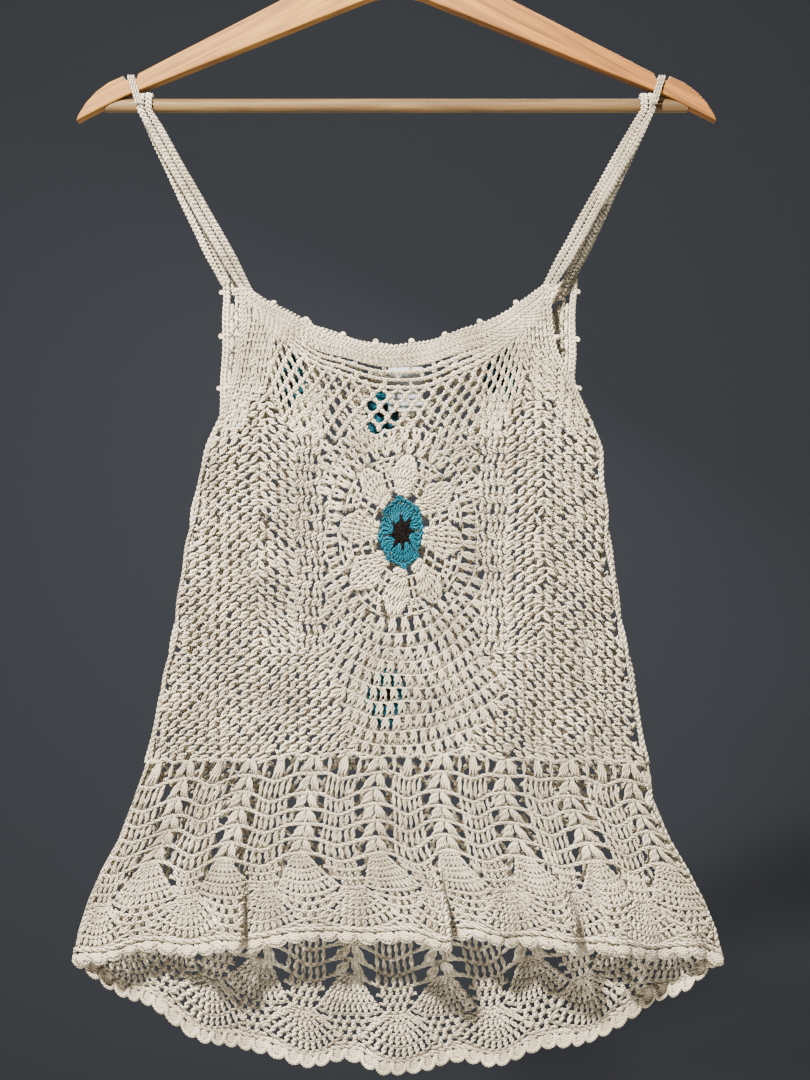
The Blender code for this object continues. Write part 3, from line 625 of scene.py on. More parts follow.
def in_rounds(x, z):
    """The middle column of the front: the flower's own ground, wider low down and narrow at the waist."""
    off = x - FLOWER_MIDDLE[0]
    left, right = (np.interp(-z, *reach) for reach in GROUND_REACH)
    return (off > -left) & (off < right) & (z < yoke_foot(x)) & (z > waist("front", x) - SEAM_OVERLAP)


rounds = petal_fans(FLOWER_MIDDLE, (1.0, 1.0), PETAL_TURN, PETAL_ROWS)
for number in range(ROUNDS):
    rounds += round_of_net(FIRST_ROUND + number * ROUND_STEP, number % 2)
front_flower = yarn_piece("front_flower", rounds, on_front)

# ------------------------------------------------------------------------------
# Front sides: a chunky net of slanting stitches in a brick lattice, falling away from the middle on both
# sides. A ladder of small slots and a band of counter-slanting stitches join them to the flower's ground.

LATTICE_ACROSS = np.array([0.0070, 0.0063])
LATTICE_DOWN = np.array([0.0, 0.0122])
NET_STITCHES = (
    # shift from the lattice point, length, tilt in degrees, ply, lift
    ((0.0, 0.0), 0.0086, 40, 0.00118, 0.0005),
    ((0.0003, 0.0061), 0.0088, 52, 0.00118 * 0.92, 0.0001),
    ((-0.0032, 0.0030), 0.0068, -38, 0.00118 * 0.70, -0.0010),
)
LADDER_TOP, LADDER_FOOT = -0.376, -0.549
LADDER_INNER, LADDER_OUTER = 0.0570, 0.0705
LADDER_ROW = 0.0118
LADDER_STITCHES = (
    # extra reach inwards, pitch, shift, the stitch's own run, ply, lift
    (0.0, 0.0041, 0.0, (0.0012, -0.0070), 0.00090, 0.0),
    (0.001, 0.0037, 0.0022, (0.0024, 0.0052), 0.00108, 0.0004),
)
GROOVE = 0.0975
SHOULDER_NET_REACH = 0.060
FRONT_BOX = np.array([-0.180, -0.640]), np.array([FLOWER_MIDDLE[0], -0.300])
BAND_MIDDLE = -0.0825
NECK_BAND_WIDTH = 0.0125
NECK_POWER = 1.88
# Middle, half width, lowest point and depth of the neckline.
NECK = {"front": (-0.0005, 0.1023, -0.3369, 0.0412)}


def neckline(side, x):
    """Upper edge of the neck band: a valley whose height grows as a power of the distance."""
    middle, half_width, bottom, depth = NECK[side]
    return bottom + depth * np.abs((x - middle) / half_width) ** NECK_POWER


def inside_panel(side, x, z, margin=0.0012):
    """Where a panel has cloth: between its edges, under the neck band and above the waist seam."""
    margin_x = 0.0055 * np.clip((z - UNDERARM) / 0.03, 0, 1) + margin
    across = (x > edge_at(side, 1, z) + margin_x) & (x < edge_at(side, 2, z) - margin_x)
    under_band = z < neckline(side, x) - NECK_BAND_WIDTH - margin
    return across & under_band & (z > waist(side, x) - SEAM_OVERLAP)


def lattice(low, high):
    """All lattice points in a box, with a slight unevenness."""
    columns, rows = int((high - low)[0] / LATTICE_ACROSS[0]), int((high - low)[1] / LATTICE_DOWN[1])
    i, j = np.meshgrid(np.arange(-2, columns + 3), np.arange(-columns - 3, rows + 3))
    points = low + i.reshape(-1, 1) * LATTICE_ACROSS + j.reshape(-1, 1) * LATTICE_DOWN
    points = points[np.all((points > low - 0.01) & (points < high + 0.01), axis=1)]
    return points + noise.normal(0, 0.0003, points.shape)


def slanted_net(points, inside, rings=5):
    """Three strands a lattice point: two fat ones that slant up to the right, and a thin one across."""
    strands = []
    for shift, length, tilt, ply, lift in NET_STITCHES:
        middles = points + LATTICE_ACROSS / 2 + np.array(shift)
        tilts = math.radians(tilt) + noise.normal(0, 0.05, len(middles))
        half = length / 2 * np.stack([np.cos(tilts), np.sin(tilts)], axis=-1)
        start, end = kept(middles - half, middles + half, inside)
        strands += posts(start, end, ply=ply, turns=0.75, lift=lift, rings=rings)
    return strands


def mirrored(strands, about=0.0):
    """The same strands on the other side of an upright line."""
    return [(paths * (-1, 1, 1) + (2 * about, 0, 0), radii, sides) for paths, radii, sides in strands]


def spots(x, z):
    """Chart points from their two coordinates."""
    return np.stack(np.broadcast_arrays(x, z), axis=-1)


def side_of_front(sign):
    """Strands of one side, laid out as the left one and mirrored for the right."""
    about = FLOWER_MIDDLE[0]

    def true_x(x):
        """Place on the body of a chart place of this side."""
        return x if sign < 0 else 2 * about - x

    def panel(x, z):
        """Cloth under the yoke."""
        return inside_panel("front", true_x(x), z) & (z < yoke_foot(true_x(x)) + 0.002)

    def outer(x, z):
        """Beyond the groove beside the ladder, beyond the flower's ground below it, and nearer in above."""
        off = about - x
        beside_ladder = (z < LADDER_TOP - 0.005) & (z > LADDER_FOOT)
        reach = np.where(beside_ladder, GROOVE - SEAM_OVERLAP, SHOULDER_NET_REACH)
        low_down = ~in_rounds(true_x(x) + 0.009 * sign, z) & (off > 0)
        return panel(x, z) & np.where(z <= LADDER_FOOT + 0.005, low_down, off > reach)

    def band(x, z):
        """Between the ladder and the groove."""
        off = about - x
        beside = (off > LADDER_OUTER - 0.002) & (off < GROOVE + 0.002)
        return panel(x, z) & beside & (z < LADDER_TOP + 0.003) & (z > LADDER_FOOT - 0.003)

    strands = slanted_net(lattice(*FRONT_BOX), outer)
    counter = lattice(*FRONT_BOX) * (-1, 1) + (2 * BAND_MIDDLE, 0)
    counter = slanted_net(counter, lambda x, z: band(2 * BAND_MIDDLE - x, z))
    strands += mirrored(counter, BAND_MIDDLE)
    for z in np.arange(LADDER_TOP, LADDER_FOOT, -LADDER_ROW):
        for inset, pitch, shift, post, ply, lift in LADDER_STITCHES:
            x = about - np.arange(LADDER_INNER - inset, LADDER_OUTER + 0.003, pitch)
            start = spots(x - shift, z) + noise.normal(0, 0.0004, (len(x), 2))
            strands += posts(start, start + post, ply=ply, lift=lift)
    return strands if sign < 0 else mirrored(strands, about)


front_net = yarn_piece("front_net", side_of_front(-1) + side_of_front(1), on_front, "front_panel")

# ------------------------------------------------------------------------------
# Front yoke: an open net between the neck band and the flower's rounds. Wide low meshes lie next to the
# band, then rows of six-sided meshes, and all rows draw together towards the straps.

YOKE_ROWS = (0.0012, 0.0064, 0.0120, 0.0176)
YOKE_NET_ROWS = 9
YOKE_NET_ROW = 0.0068
YOKE_GATHER = 0.62
YOKE_HALF_WIDTH = 0.088
# Width of the middle mesh, and how much the steps lose per step squared.
YOKE_MESH, YOKE_MESH_LOSS = 0.0112, 0.00030
TIE = np.array([0.0, 0.0017])


def yoke_row(x, depth):
    """Height of a row that lies this far under the band in the middle, and nearer to it at the sides."""
    gather = 1 - YOKE_GATHER * np.clip(np.abs(x) / YOKE_HALF_WIDTH, 0, 1) ** 1.5
    return neckline("front", x) - NECK_BAND_WIDTH - depth * gather


def net_place(step, row):
    """Place of a mesh corner, the steps growing shorter away from the middle."""
    x = np.sign(step) * (YOKE_MESH * np.abs(step) - YOKE_MESH_LOSS * step * step)
    return spots(x, yoke_row(x, YOKE_ROWS[-1]) - row * YOKE_NET_ROW)


def in_yoke(x, z):
    """Cloth above the flower's rounds."""
    return inside_panel("front", x, z, 0.0) & (z > yoke_foot(x) - 0.004)


def evenly(line, pitch=None, count=None):
    """Distances and points at even steps along an open line: about pitch apart, or count of them."""
    reach = reach_along(line)
    even = np.linspace(0, reach[-1], count or max(2, int(round(reach[-1] / pitch)) + 1))
    return even, np.stack([np.interp(even, reach, column) for column in line.T], axis=-1)


def chain(line, pitch, inside=None, **sizes):
    """Chain stitches end to end along a line."""
    places = evenly(line, pitch)[1]
    start, end = places[:-1], places[1:]
    if inside:
        start, end = kept(start, end, inside)
    return links(start, end, **sizes)


def tied_row(knots, lower, inside, ply, turns=0.9, rings=5):
    """One row of six-sided meshes: a tie at each knot, and a slanting post from it to each knot below."""
    strands = posts(*kept(knots + TIE, knots - TIE, inside), ply=0.00125, lift=0.0004, rings=rings)
    for low in lower:
        ends = kept(knots - TIE * 0.8, low + TIE * 0.8, inside)
        strands += posts(*ends, ply=ply, turns=turns, rings=rings)
    return strands


def yoke_strands():
    """Chains with a few posts between them, and below them the rows of six-sided meshes."""
    x = np.linspace(-0.100, 0.100, 61)
    strands = []
    for number, depth in enumerate(YOKE_ROWS):
        strands += chain(spots(x, yoke_row(x, depth)), 0.0046, in_yoke, ply=0.00098, spread=0.0009)
        if number:
            at = np.arange(-0.090, 0.091, 0.018) + 0.009 * (number % 2)
            start = spots(at, yoke_row(at, YOKE_ROWS[number - 1]))
            strands += posts(*kept(start, spots(at, yoke_row(at, depth)), in_yoke), ply=0.00095)
    for row in range(YOKE_NET_ROWS):
        step = np.arange(-11, 12) + 0.5 * (row % 2)
        lower = [net_place(step + swing, row + 1) for swing in (-0.5, 0.5)]
        strands += tied_row(net_place(step, row), lower, in_yoke, 0.00098, turns=1.2)
    return strands


front_yoke = yarn_piece("front_yoke", yoke_strands(), on_front)

# ------------------------------------------------------------------------------
# Neck bands, front and back: three firm rows of short stitches along the neckline with chains between
# them, and eight small picots on the upper edge.

NECK["back"] = (0.0012, 0.1175, -0.3350, 0.0480)
# The back's own edges above the underarm: z, left x, right x. Below it they are the front's.
BACK_TOP = [
    (-0.286, -0.1240, 0.1265),
    (-0.304, -0.1225, 0.1255),
    (-0.328, -0.1215, 0.1250),
    (-0.360, -0.1218, 0.1262),
    (-0.374, -0.1224, 0.1300),
]
OUTLINE["back"] = np.concatenate([BACK_TOP, OUTLINE["front"][5:], [(-0.715, -0.1745, 0.1752)]])
BAND_ROWS = (
    # depth under the edge, half height and lean of a stitch, pitch, ply
    (0.0014, 0.0017, 0.0007, 0.0032, 0.00095),
    (0.0054, 0.0027, 0.0004, 0.0031, 0.00105),
    (0.0096, 0.0019, -0.0007, 0.0032, 0.00100),
)
BAND_CHAINS = (0.0030, 0.0080, 0.0117)
NECK_PICOTS = -0.086 + 0.024 * np.arange(8)


def on_back(points):
    """Chart (-x, z, height) to the back panel, heights away from the wearer; strands are mirrored for it."""
    x, z, height = points.T
    return np.stack([-x, body_depth("back", -x, z) + height, z], axis=-1)


def bobble(places, size):
    """Plump cluster at each place: four fat strands side by side, bowed outwards, with tied ends."""
    t = np.linspace(0, 1, 6)
    bow = np.sin(math.pi * t)
    strands = []
    for shift in (-0.62, -0.2, 0.22, 0.64):
        start, end = (places + np.array([shift * size * 0.5, up * size]) for up in (-0.95, 0.95))
        flat = start[:, None, :] + (end - start)[:, None, :] * t[None, :, None]
        flat[..., 0] += shift * size * 0.75 * bow
        strands.append(strand(flat, size * (0.85 - 0.5 * abs(shift)) * bow, size * (0.24 + 0.20 * bow), 6))
    return strands


def neck_band(side):
    """Rows of leaning stitches and of chains, each the neckline moved down by its depth, and the picots."""
    middle, half_width = NECK[side][:2]
    x = np.linspace(middle - half_width, middle + half_width, 121)
    strands = []
    for depth, half_height, lean, pitch, ply in BAND_ROWS:
        places = evenly(spots(x, neckline(side, x) - depth), pitch)[1]
        slant = np.array([lean, half_height])
        strands += posts(places - slant, places + slant, ply=ply, lift=0.0003)
    for depth in BAND_CHAINS:
        strands += chain(spots(x, neckline(side, x) - depth), 0.0036, ply=0.00082, spread=0.0009, lift=0.0009)
    return strands + bobble(spots(NECK_PICOTS, neckline(side, NECK_PICOTS) + 0.0012), 0.0017)


front_band = yarn_piece("front_band", neck_band("front"), on_front, "front_neck_band")
back_band = yarn_piece("back_band", mirrored(neck_band("back")), on_back, "back_neck_band")

# ------------------------------------------------------------------------------
# Armhole bands: two chains tied together down each edge from the strap to the underarm, with three small
# picots. Below the underarm a single chain goes on as the side seam.

ARMHOLE_PICOTS = np.array([-0.298, -0.330, -0.366])
# Columns of long stitches in the corner under the strap: first one, step and number.
CORNER_START, CORNER_STEP, CORNER_COLUMNS = 0.0062, 0.0030, 8
CORNER_TOP, CORNER_FOOT = -0.296, -0.368
CORNER_STITCH = 0.0098
CORNER_PITCH = 0.0112


def edge_band(side, column, inward):
    """Chains down one edge of a panel, joined by short ties, and picots that stand out from the edge.

    Inside them, long upright stitches with slots between fill the narrow corner up to the strap.
    """

    def beside(z, offset):
        """Points at a distance inside the edge."""
        return spots(edge_at(side, column, z) + inward * offset, z)

    strands = []
    for number in range(CORNER_COLUMNS):
        offset = CORNER_START + CORNER_STEP * number
        foot = UNDERARM - 0.004 if number < 5 else CORNER_FOOT
        top = np.arange(CORNER_TOP - 0.0055 * (number % 2), foot, -CORNER_PITCH)
        ends = beside(top, offset), beside(top - CORNER_STITCH, offset)
        start, end = kept(*ends, lambda x, z: inside_panel(side, x, z, -0.0022))
        strands += posts(start, end, ply=0.00098, turns=1.4, lift=0.0002)
        strands += posts(end - (0.0016, 0.0004), end + (0.0016, 0.0004), ply=0.00090, lift=0.0006, rings=4)
    shoulder = OUTLINE[side][0, 0]
    z = np.linspace(shoulder, UNDERARM, 30)
    for offset in (0.0012, 0.0036):
        strands += chain(beside(z, offset), 0.0034, ply=0.00085)
    outer = beside(np.arange(shoulder - 0.002, UNDERARM, -0.0034), 0.0008)
    strands += posts(outer, outer + (inward * 0.0034, -0.0004), lift=0.0004, rings=4)
    strands += bobble(beside(ARMHOLE_PICOTS, -0.0008), 0.0016)
    seam = beside(np.linspace(UNDERARM, WAIST_SIDE, 60), 0.0012)
    return strands + chain(seam, 0.0040, ply=0.0011, spread=0.0009, lift=-0.0006)


edges = {"front": [], "back": []}
for side, place in (("front", on_front), ("back", on_back)):
    for hand, column, inward in (("left", 1, 1), ("right", 2, -1)):
        edge = edge_band(side, column, inward)
        edge = edge if side == "front" else mirrored(edge)
        edges[side].append(yarn_piece(f"{side}_edge_{hand}", edge, place, f"{side}_armhole_band_{hand}"))

# ------------------------------------------------------------------------------
# Back panel: the same slanting net at its sides, an open net in the middle, and four small flowers, three
# of them high up under the neck band and one low down.

BACK_FLOWERS = (
    # x, z, size of the coloured heart, size of the petals
    (-0.0740, -0.3590, 0.80, 0.50),
    (-0.0100, -0.3810, 0.80, 0.50),
    (0.0740, -0.3570, 0.80, 0.50),
    (-0.0070, -0.5840, 0.90, 0.62),
)
SMALL_PETAL_ROWS = ((0.05, 0.50, 3, 0.16, 0.24, 0.0011), (0.52, 0.96, 5, 0.26, 0.31, 0.0010))
BACK_SIDE = 0.084
BACK_MESH = 0.0104
BACK_NET_TOP, BACK_NET_ROW, BACK_NET_ROWS = -0.292, 0.0088, 48
BACK_NET_SAG = 0.6
BACK_BOX = np.array([-0.180, -0.730]), np.array([-0.070, -0.280])


def clear_of_flowers(x, z):
    """Outside every flower's petals, which are ovals of two half heights."""
    clear = np.ones(np.shape(x), bool)
    for middle_x, middle_z, _, size in BACK_FLOWERS:
        across, up, down = np.array(PETAL_SIZES[1]) * size
        tall = np.where(z > middle_z, up, down)
        clear &= ((x - middle_x) / across) ** 2 + ((z - middle_z) / tall) ** 2 > 0.94
    return clear


def back_middle(x, z):
    """Cloth between the two sides of the back."""
    return inside_panel("back", x, z) & (np.abs(x) < BACK_SIDE) & clear_of_flowers(x, z)


def back_knots(x, row):
    """Knots of one row of the middle net, which hangs in a slight parabola."""
    return spots(x, BACK_NET_TOP - BACK_NET_ROW * row - BACK_NET_SAG * x**2)


def back_net():
    """Rows of six-sided meshes down the middle, each shifted by half a mesh."""
    strands = []
    for row in range(BACK_NET_ROWS):
        x = (np.arange(-9, 10) + 0.5 * (row % 2)) * BACK_MESH
        lower = [back_knots(low_x, row + 1) for low_x in (x - BACK_MESH / 2, x + BACK_MESH / 2)]
        strands += tied_row(back_knots(x, row), lower, back_middle, 0.00100, rings=4)
    return strands


def back_side(sign):
    """One side's slanting net, laid out on the left and mirrored for the right."""

    def cloth_here(x, z):
        """Cloth beyond the middle net."""
        return inside_panel("back", -sign * x, z) & (x < -BACK_SIDE) & clear_of_flowers(-sign * x, z)

    strands = slanted_net(lattice(*BACK_BOX), cloth_here, rings=4)
    return strands if sign < 0 else mirrored(strands)


back_cloth = mirrored(back_net() + back_side(-1) + back_side(1))
back_cloth = yarn_piece("back_net", back_cloth, on_back, "back_panel")
back_flowers = []
for number, (x, z, heart_size, petal_size) in enumerate(BACK_FLOWERS, 1):
    middle = np.array([x, z])
    node = f"back_motif_{number}"
    star, teal = heart_rounds(middle, heart_size)
    star = yarn_piece(f"back_star_{number}", mirrored(star), on_back, node + "_star", "dark_yarn")
    teal = yarn_piece(f"back_teal_ring_{number}", mirrored(teal), on_back, node + "_ring", "teal_yarn")
    petals = petal_fans(middle, (heart_size, petal_size), math.radians(90), SMALL_PETAL_ROWS)
    petals = yarn_piece(f"back_petals_{number}", mirrored(petals), on_back)
    back_flowers += [star, teal, petals]

# ------------------------------------------------------------------------------
# Peplums: the flared lace skirt, worked down from the waist seam. Shells run down in columns between ladders
# of upright stitches, a small pineapple closes under each ladder, and two tiers of solid fans spread to the
# hem. The front one hangs in deep folds.

PEPLUM_OUTLINE = np.array(
    [
        (-0.6273, -0.1747, 0.1754),
        (-0.6540, -0.1837, 0.1800),
        (-0.6810, -0.1942, 0.1914),
        (-0.7020, -0.2060, 0.2040),
        (-0.7230, -0.2152, 0.2145),
        (-0.7440, -0.2220, 0.2236),
        (-0.7640, -0.2262, 0.2280),
    ]
)
HEM_SIDE = -0.7600
# How far the hem rises in the middle, and the power of its curve.
HEM_LIFT = {"front": (0.0185, 2), "back": (-0.0780, 2.3)}
FOLDS = {
    # place across the hem, half width, depth, where it starts down the peplum, lean sideways
    "front": (
        (0.060, 0.045, 0.006, 0.30, -0.2),
        (0.225, 0.042, 0.015, 0.40, 0.9),
        (0.350, 0.060, 0.004, 0.40, 0.0),
        (0.535, 0.046, 0.021, 0.30, 0.8),
        (0.640, 0.045, 0.009, 0.45, 0.3),
        (0.738, 0.050, 0.024, 0.35, 0.4),
        (0.862, 0.044, 0.020, 0.30, -0.6),
        (0.950, 0.030, 0.007, 0.45, 0.2),
    ),
    "back": (
        (0.090, 0.060, 0.006, 0.20, 0.3),
        (0.250, 0.060, 0.008, 0.25, -0.4),
        (0.420, 0.065, 0.009, 0.20, 0.4),
        (0.590, 0.060, 0.010, 0.25, -0.3),
        (0.760, 0.060, 0.008, 0.20, 0.4),
        (0.910, 0.055, 0.006, 0.20, -0.3),
    ),
}
# Width and length of a peplum's chart, and the sag of its rows between the shells as shares of the length.
PEPLUM_WIDE = 0.42
PEPLUM_LONG = 0.125
ROW_SAG = 0.058
HEM_SAG = 0.034
SIDE_SEAM = 0.0014
# Pattern repeats across the peplum, and where the first shell stands in its repeat.
PEPLUM_REPEATS = {"front": (8, 0.7), "back": (7, 0.0)}
SHELL_LEGS = np.array([-0.165, -0.115, -0.065, 0.065, 0.115, 0.165])
LADDER_POSTS = np.array([0.29, 0.374, 0.458, 0.542, 0.626, 0.71])
LADDER_RUNGS = (0.0, 0.103, 0.200, 0.288, 0.376, 0.464, 0.549)
PINEAPPLE_RUNGS = (0.549, 0.600, 0.651, 0.703)
# Rows of the solid fans: half width in repeats, height down the peplum, how far the row's ends rise; posts.
UPPER_FAN = (
    ((0.05, 0.545, 0.0), 5),
    ((0.13, 0.595, 0.016), 7),
    ((0.20, 0.650, 0.034), 10),
    ((0.275, 0.712, 0.056), 11),
    ((0.345, 0.777, 0.080), 0),
)
LOWER_FAN = (
    ((0.05, 0.712, 0.0), 5),
    ((0.14, 0.772, 0.022), 8),
    ((0.22, 0.834, 0.040), 10),
    ((0.31, 0.898, 0.050), 12),
    ((0.40, 0.962, 0.045), 0),
)
# Rows of net under an upper fan: height down, half width, rise of the ends; then the posts between the rows.
UNDER_FAN_CHAINS = ((0.822, 0.30, 0.075), (0.868, 0.235, 0.050), (0.914, 0.185, 0.030), (0.955, 0.15, 0.012))
UNDER_FAN_POSTS = (
    (0.780, 0.822, (-0.20, -0.10, 0.0, 0.10, 0.20)),
    (0.826, 0.868, (-0.15, -0.05, 0.05, 0.15)),
    (0.872, 0.914, (-0.10, 0.0, 0.10)),
    (0.918, 0.955, (-0.05, 0.05)),
)


def peplum_surface(side, u, v):
    """Point at u across and v down: a crown over the body, and round folds that grow downwards."""
    rise, power = HEM_LIFT[side]
    top = WAIST_SIDE + WAIST_LIFT[side] * crown(u)
    z = top + v * (HEM_SIDE + rise * crown(u, power) - top)
    edge_z = WAIST_SIDE + v * (HEM_SIDE - WAIST_SIDE)
    left, right = (np.interp(-edge_z, -PEPLUM_OUTLINE[:, 0], PEPLUM_OUTLINE[:, k]) for k in (1, 2))
    depth = SIDE_GAP_HALF + (BODY_BULGE + 0.002 * v) * crown(u, BULGE_POWER)
    x = left + u * (right - left)
    for middle, half_width, fold, start, lean in FOLDS[side]:
        across = np.clip(np.abs(u - middle) / half_width, 0, 1)
        ridge = fold * np.cos(across * math.pi / 2) ** 2 * ease((v - start) / (1 - start))
        depth = depth + ridge
        x = x + lean * ridge
    return np.stack([x, depth * (-1 if side == "front" else 1), z], axis=-1)


def peplum_placer(side):
    """Chart to cloth: a runs evenly along the folded cloth, b down from the waist, height stands off it.

    A table of u by row and even share of the row's length is read with linear steps between its places.
    """
    rows, columns = 33, 801
    v, u = np.meshgrid(np.linspace(0, 1, rows), np.linspace(0, 1, columns), indexing="ij")
    share = reach_along(peplum_surface(side, u, v))
    share /= share[:, -1:]
    even = np.linspace(0, 1, columns)
    across = np.stack([np.interp(even, row, even) for row in share])
    way = 1 if side == "front" else -1

    def place(points):
        """Points read from the table and moved off the surface along its normal."""
        a, b, height = points.T
        along = a / PEPLUM_WIDE if side == "front" else 1 - a / PEPLUM_WIDE
        v = -b / PEPLUM_LONG
        row = np.clip(v, 0, 1) * (rows - 1)
        low = np.minimum(row.astype(int), rows - 2)
        column = np.clip(along, 0, 1) * (columns - 1)
        left = np.minimum(column.astype(int), columns - 2)
        part, cut = row - low, column - left
        upper = (1 - cut) * across[low, left] + cut * across[low, left + 1]
        lower = (1 - cut) * across[low + 1, left] + cut * across[low + 1, left + 1]
        u = (1 - part) * upper + part * lower
        side_step = peplum_surface(side, u + 0.001, v) - peplum_surface(side, u - 0.001, v)
        down_step = peplum_surface(side, u, v + 0.005) - peplum_surface(side, u, v - 0.005)
        return peplum_surface(side, u, v) + unit(np.cross(side_step * way, -down_step)) * height[:, None]

    return place


def peplum_strands(repeats, start):
    """Strands of one peplum in its chart, net and fans apart; p counts repeats from shell to shell."""
    net, fans = [], []

    def chart(p, v):
        """Chart point; the rows sag between the shells, which hold them up."""
        most = np.interp(v, [0.0, 0.2, 0.55, 1.0], [0.0, ROW_SAG, ROW_SAG, HEM_SAG])
        sag = most * np.sin(math.pi * (p - start)) ** 2
        return spots(p * (PEPLUM_WIDE / repeats), -(v + sag) * PEPLUM_LONG)

    def inside(a, _):
        """Within the chart's width."""
        return (a > 0.0008) & (a < PEPLUM_WIDE - 0.0008)

    def post_row(p_top, v_top, p_low, v_low, ply, **sizes):
        """Posts of the net from their heads to their feet."""
        net.extend(posts(*kept(chart(p_top, v_top), chart(p_low, v_low), inside), ply=ply, **sizes))

    def chain_row(p, v, pitch):
        """Chain of the net along a line."""
        net.extend(chain(chart(p, v), pitch, inside, ply=0.0009))

    def fan(middle, rows):
        """Rows of posts that spread from a point, with a chain along the heads of each."""
        for ((half, v, bow), count), ((next_half, next_v, next_bow), _) in zip(rows, rows[1:]):
            q = np.linspace(-1, 1, count)
            top = chart(middle + half * q, v - bow * q * q)
            low = chart(middle + next_half * q, next_v - next_bow * q * q)
            gap = (low - top) * 0.04
            fans.extend(posts(*kept(top + gap, low - gap, inside), ply=0.00095, arch=0.0008))
            q = np.linspace(-1.04, 1.04, count + 1)
            cap = chart(middle + next_half * q, next_v - next_bow * q * q)
            fans.extend(links(*kept(cap[:-1], cap[1:], inside), ply=0.00080, lift=0.0009))

    for base in np.arange(-1, repeats + 1) + start:
        middle = base + 0.5
        whole = np.linspace(base, base + 1, 9)
        for v_top, v_low in zip(LADDER_RUNGS, LADDER_RUNGS[1:]):
            heads = base + SHELL_LEGS * 0.3
            post_row(heads, v_top + 0.012, base + SHELL_LEGS, v_low - 0.004, 0.00110, arch=0.0009)
            if v_top:
                post_row(base + LADDER_POSTS, v_top + 0.006, base + LADDER_POSTS, v_low - 0.004, 0.00098)
            else:
                foot = np.array([-0.06, 0.0, 0.06])
                post_row(middle + 0.4 * foot, v_top + 0.01, middle + foot, v_low, 0.00105)
                for p in (np.array([base + 0.27]), np.array([base + 0.73])):
                    post_row(p, v_top + 0.01, p, v_low, 0.00105)
            chain_row(whole, v_low + 0.006 * np.cos(np.linspace(0, 4 * math.pi, 9)), 0.0046)
        for v_top, v_low, count in zip(PINEAPPLE_RUNGS, PINEAPPLE_RUNGS[1:], (5, 4, 3)):
            half = 0.040 * (count - 1)
            at = np.linspace(-half, half, count)
            post_row(middle + at, v_top + 0.006, middle + at * 0.86, v_low - 0.004, 0.00098)
            chain_row(np.linspace(middle - half - 0.05, middle + half + 0.05, 5), np.full(5, v_low), 0.0040)
        fan(base, UPPER_FAN)
        fan(middle, LOWER_FAN)
        q = np.linspace(-1, 1, 9)
        for v, half, bow in UNDER_FAN_CHAINS:
            chain_row(base + half * q, v - bow * q * q, 0.0040)
        for v_top, v_low, places in UNDER_FAN_POSTS:
            at = np.array(places)
            sag = 0.9 * at**2
            post_row(base + at, v_top - sag, base + at, v_low - sag, 0.00105)
        for way in (-1, 1):
            foot = middle + way * np.array([0.07, 0.14, 0.22, 0.30])
            chain_row(foot, np.array([0.690, 0.728, 0.775, 0.835]), 0.0042)
            post_row(middle + way * np.array([0.19]), 0.655, middle + way * np.array([0.235]), 0.700, 0.0010)
        chain_row(whole, np.full(9, 0.972), 0.0038)
    for a in (SIDE_SEAM, PEPLUM_WIDE - SIDE_SEAM):
        seam = spots(a, -np.linspace(0, 1, 61) * PEPLUM_LONG)
        net.extend(chain(seam, 0.0040, ply=0.0011, spread=0.0009, lift=-0.0006))
    a = np.linspace(0, PEPLUM_WIDE, 161)
    waist_line = spots(a, -0.0013 + 0.0012 * np.sin(a / 0.0021) + 0.0008 * np.sin(a / 0.0083))
    net.extend(chain(waist_line, 0.0036, inside, ply=0.0009))
    return net, fans


peplum_places = {side: peplum_placer(side) for side in PEPLUM_REPEATS}
skirts = {}
for side, place in peplum_places.items():
    net, fans = peplum_strands(*PEPLUM_REPEATS[side])
    net = yarn_piece(side + "_skirt", net, place, side + "_peplum")
    skirts[side] = net, yarn_piece(side + "_fans", fans, place)

# ------------------------------------------------------------------------------
# Hem edgings: a row of puffy scallops in cream yarn worked into the hem of each peplum, each an arc of cord
# filled with short fat stitches, and a chain along their heads.

SCALLOPS = {"front": 43, "back": 45}
SCALLOP_DROP = 0.0080


def scallops(count, repeats, start):
    """An arc and its spokes at each place along the sagging hem, and the chain above them."""

    def hem(a, v):
        """Points of a row near the hem, which sags between the shells."""
        sag = HEM_SAG * np.sin(math.pi * (a * repeats / PEPLUM_WIDE - start)) ** 2
        return spots(a, -(v + sag) * PEPLUM_LONG)

    wide = PEPLUM_WIDE / count
    head = hem((np.arange(count) + 0.5) * wide + noise.normal(0, 0.0002, count), 0.975)
    angle = np.linspace(0.02, math.pi - 0.02, 9)
    arc = spots(-0.48 * wide * np.cos(angle), -(0.0004 + SCALLOP_DROP * np.sin(angle) ** 0.7))
    strands = [strand(head[:, None, :] + arc, -0.0003, 0.00145, 5)]
    t = np.linspace(0, 1, 6)
    for spoke in arc[1:-1]:
        spoke = spoke * (0.90 + 0.05 * noise.normal(size=(count, 1)).clip(-2, 2))
        flat = head[:, None, :] + spoke[:, None, :] * (0.02 + 0.98 * t)[:, None]
        strands.append(strand(flat, 0.0004 + 0.0008 * np.sin(math.pi * t * 0.8), 0.00060 + 0.00042 * t, 5))
    line = hem(np.linspace(0, PEPLUM_WIDE, 241), 0.968)
    return strands + chain(line, 0.0052, ply=0.00118, spread=0.0010, lift=0.0014)


for side, place in peplum_places.items():
    edging = scallops(SCALLOPS[side], *PEPLUM_REPEATS[side])
    edging = yarn_piece(side + "_hem_cord", edging, place, side + "_hem_edging")
    net, fans = skirts[side]

# ------------------------------------------------------------------------------
# Straps: two ribs of slanting stitches side by side. Each strap rises from the front corner, turns over
# the hanger's bar and comes down to the back corner.

BAR_HEIGHT = -0.1686
STRAP_TURN = 0.00695
STRAP_TOP_X = 0.1750
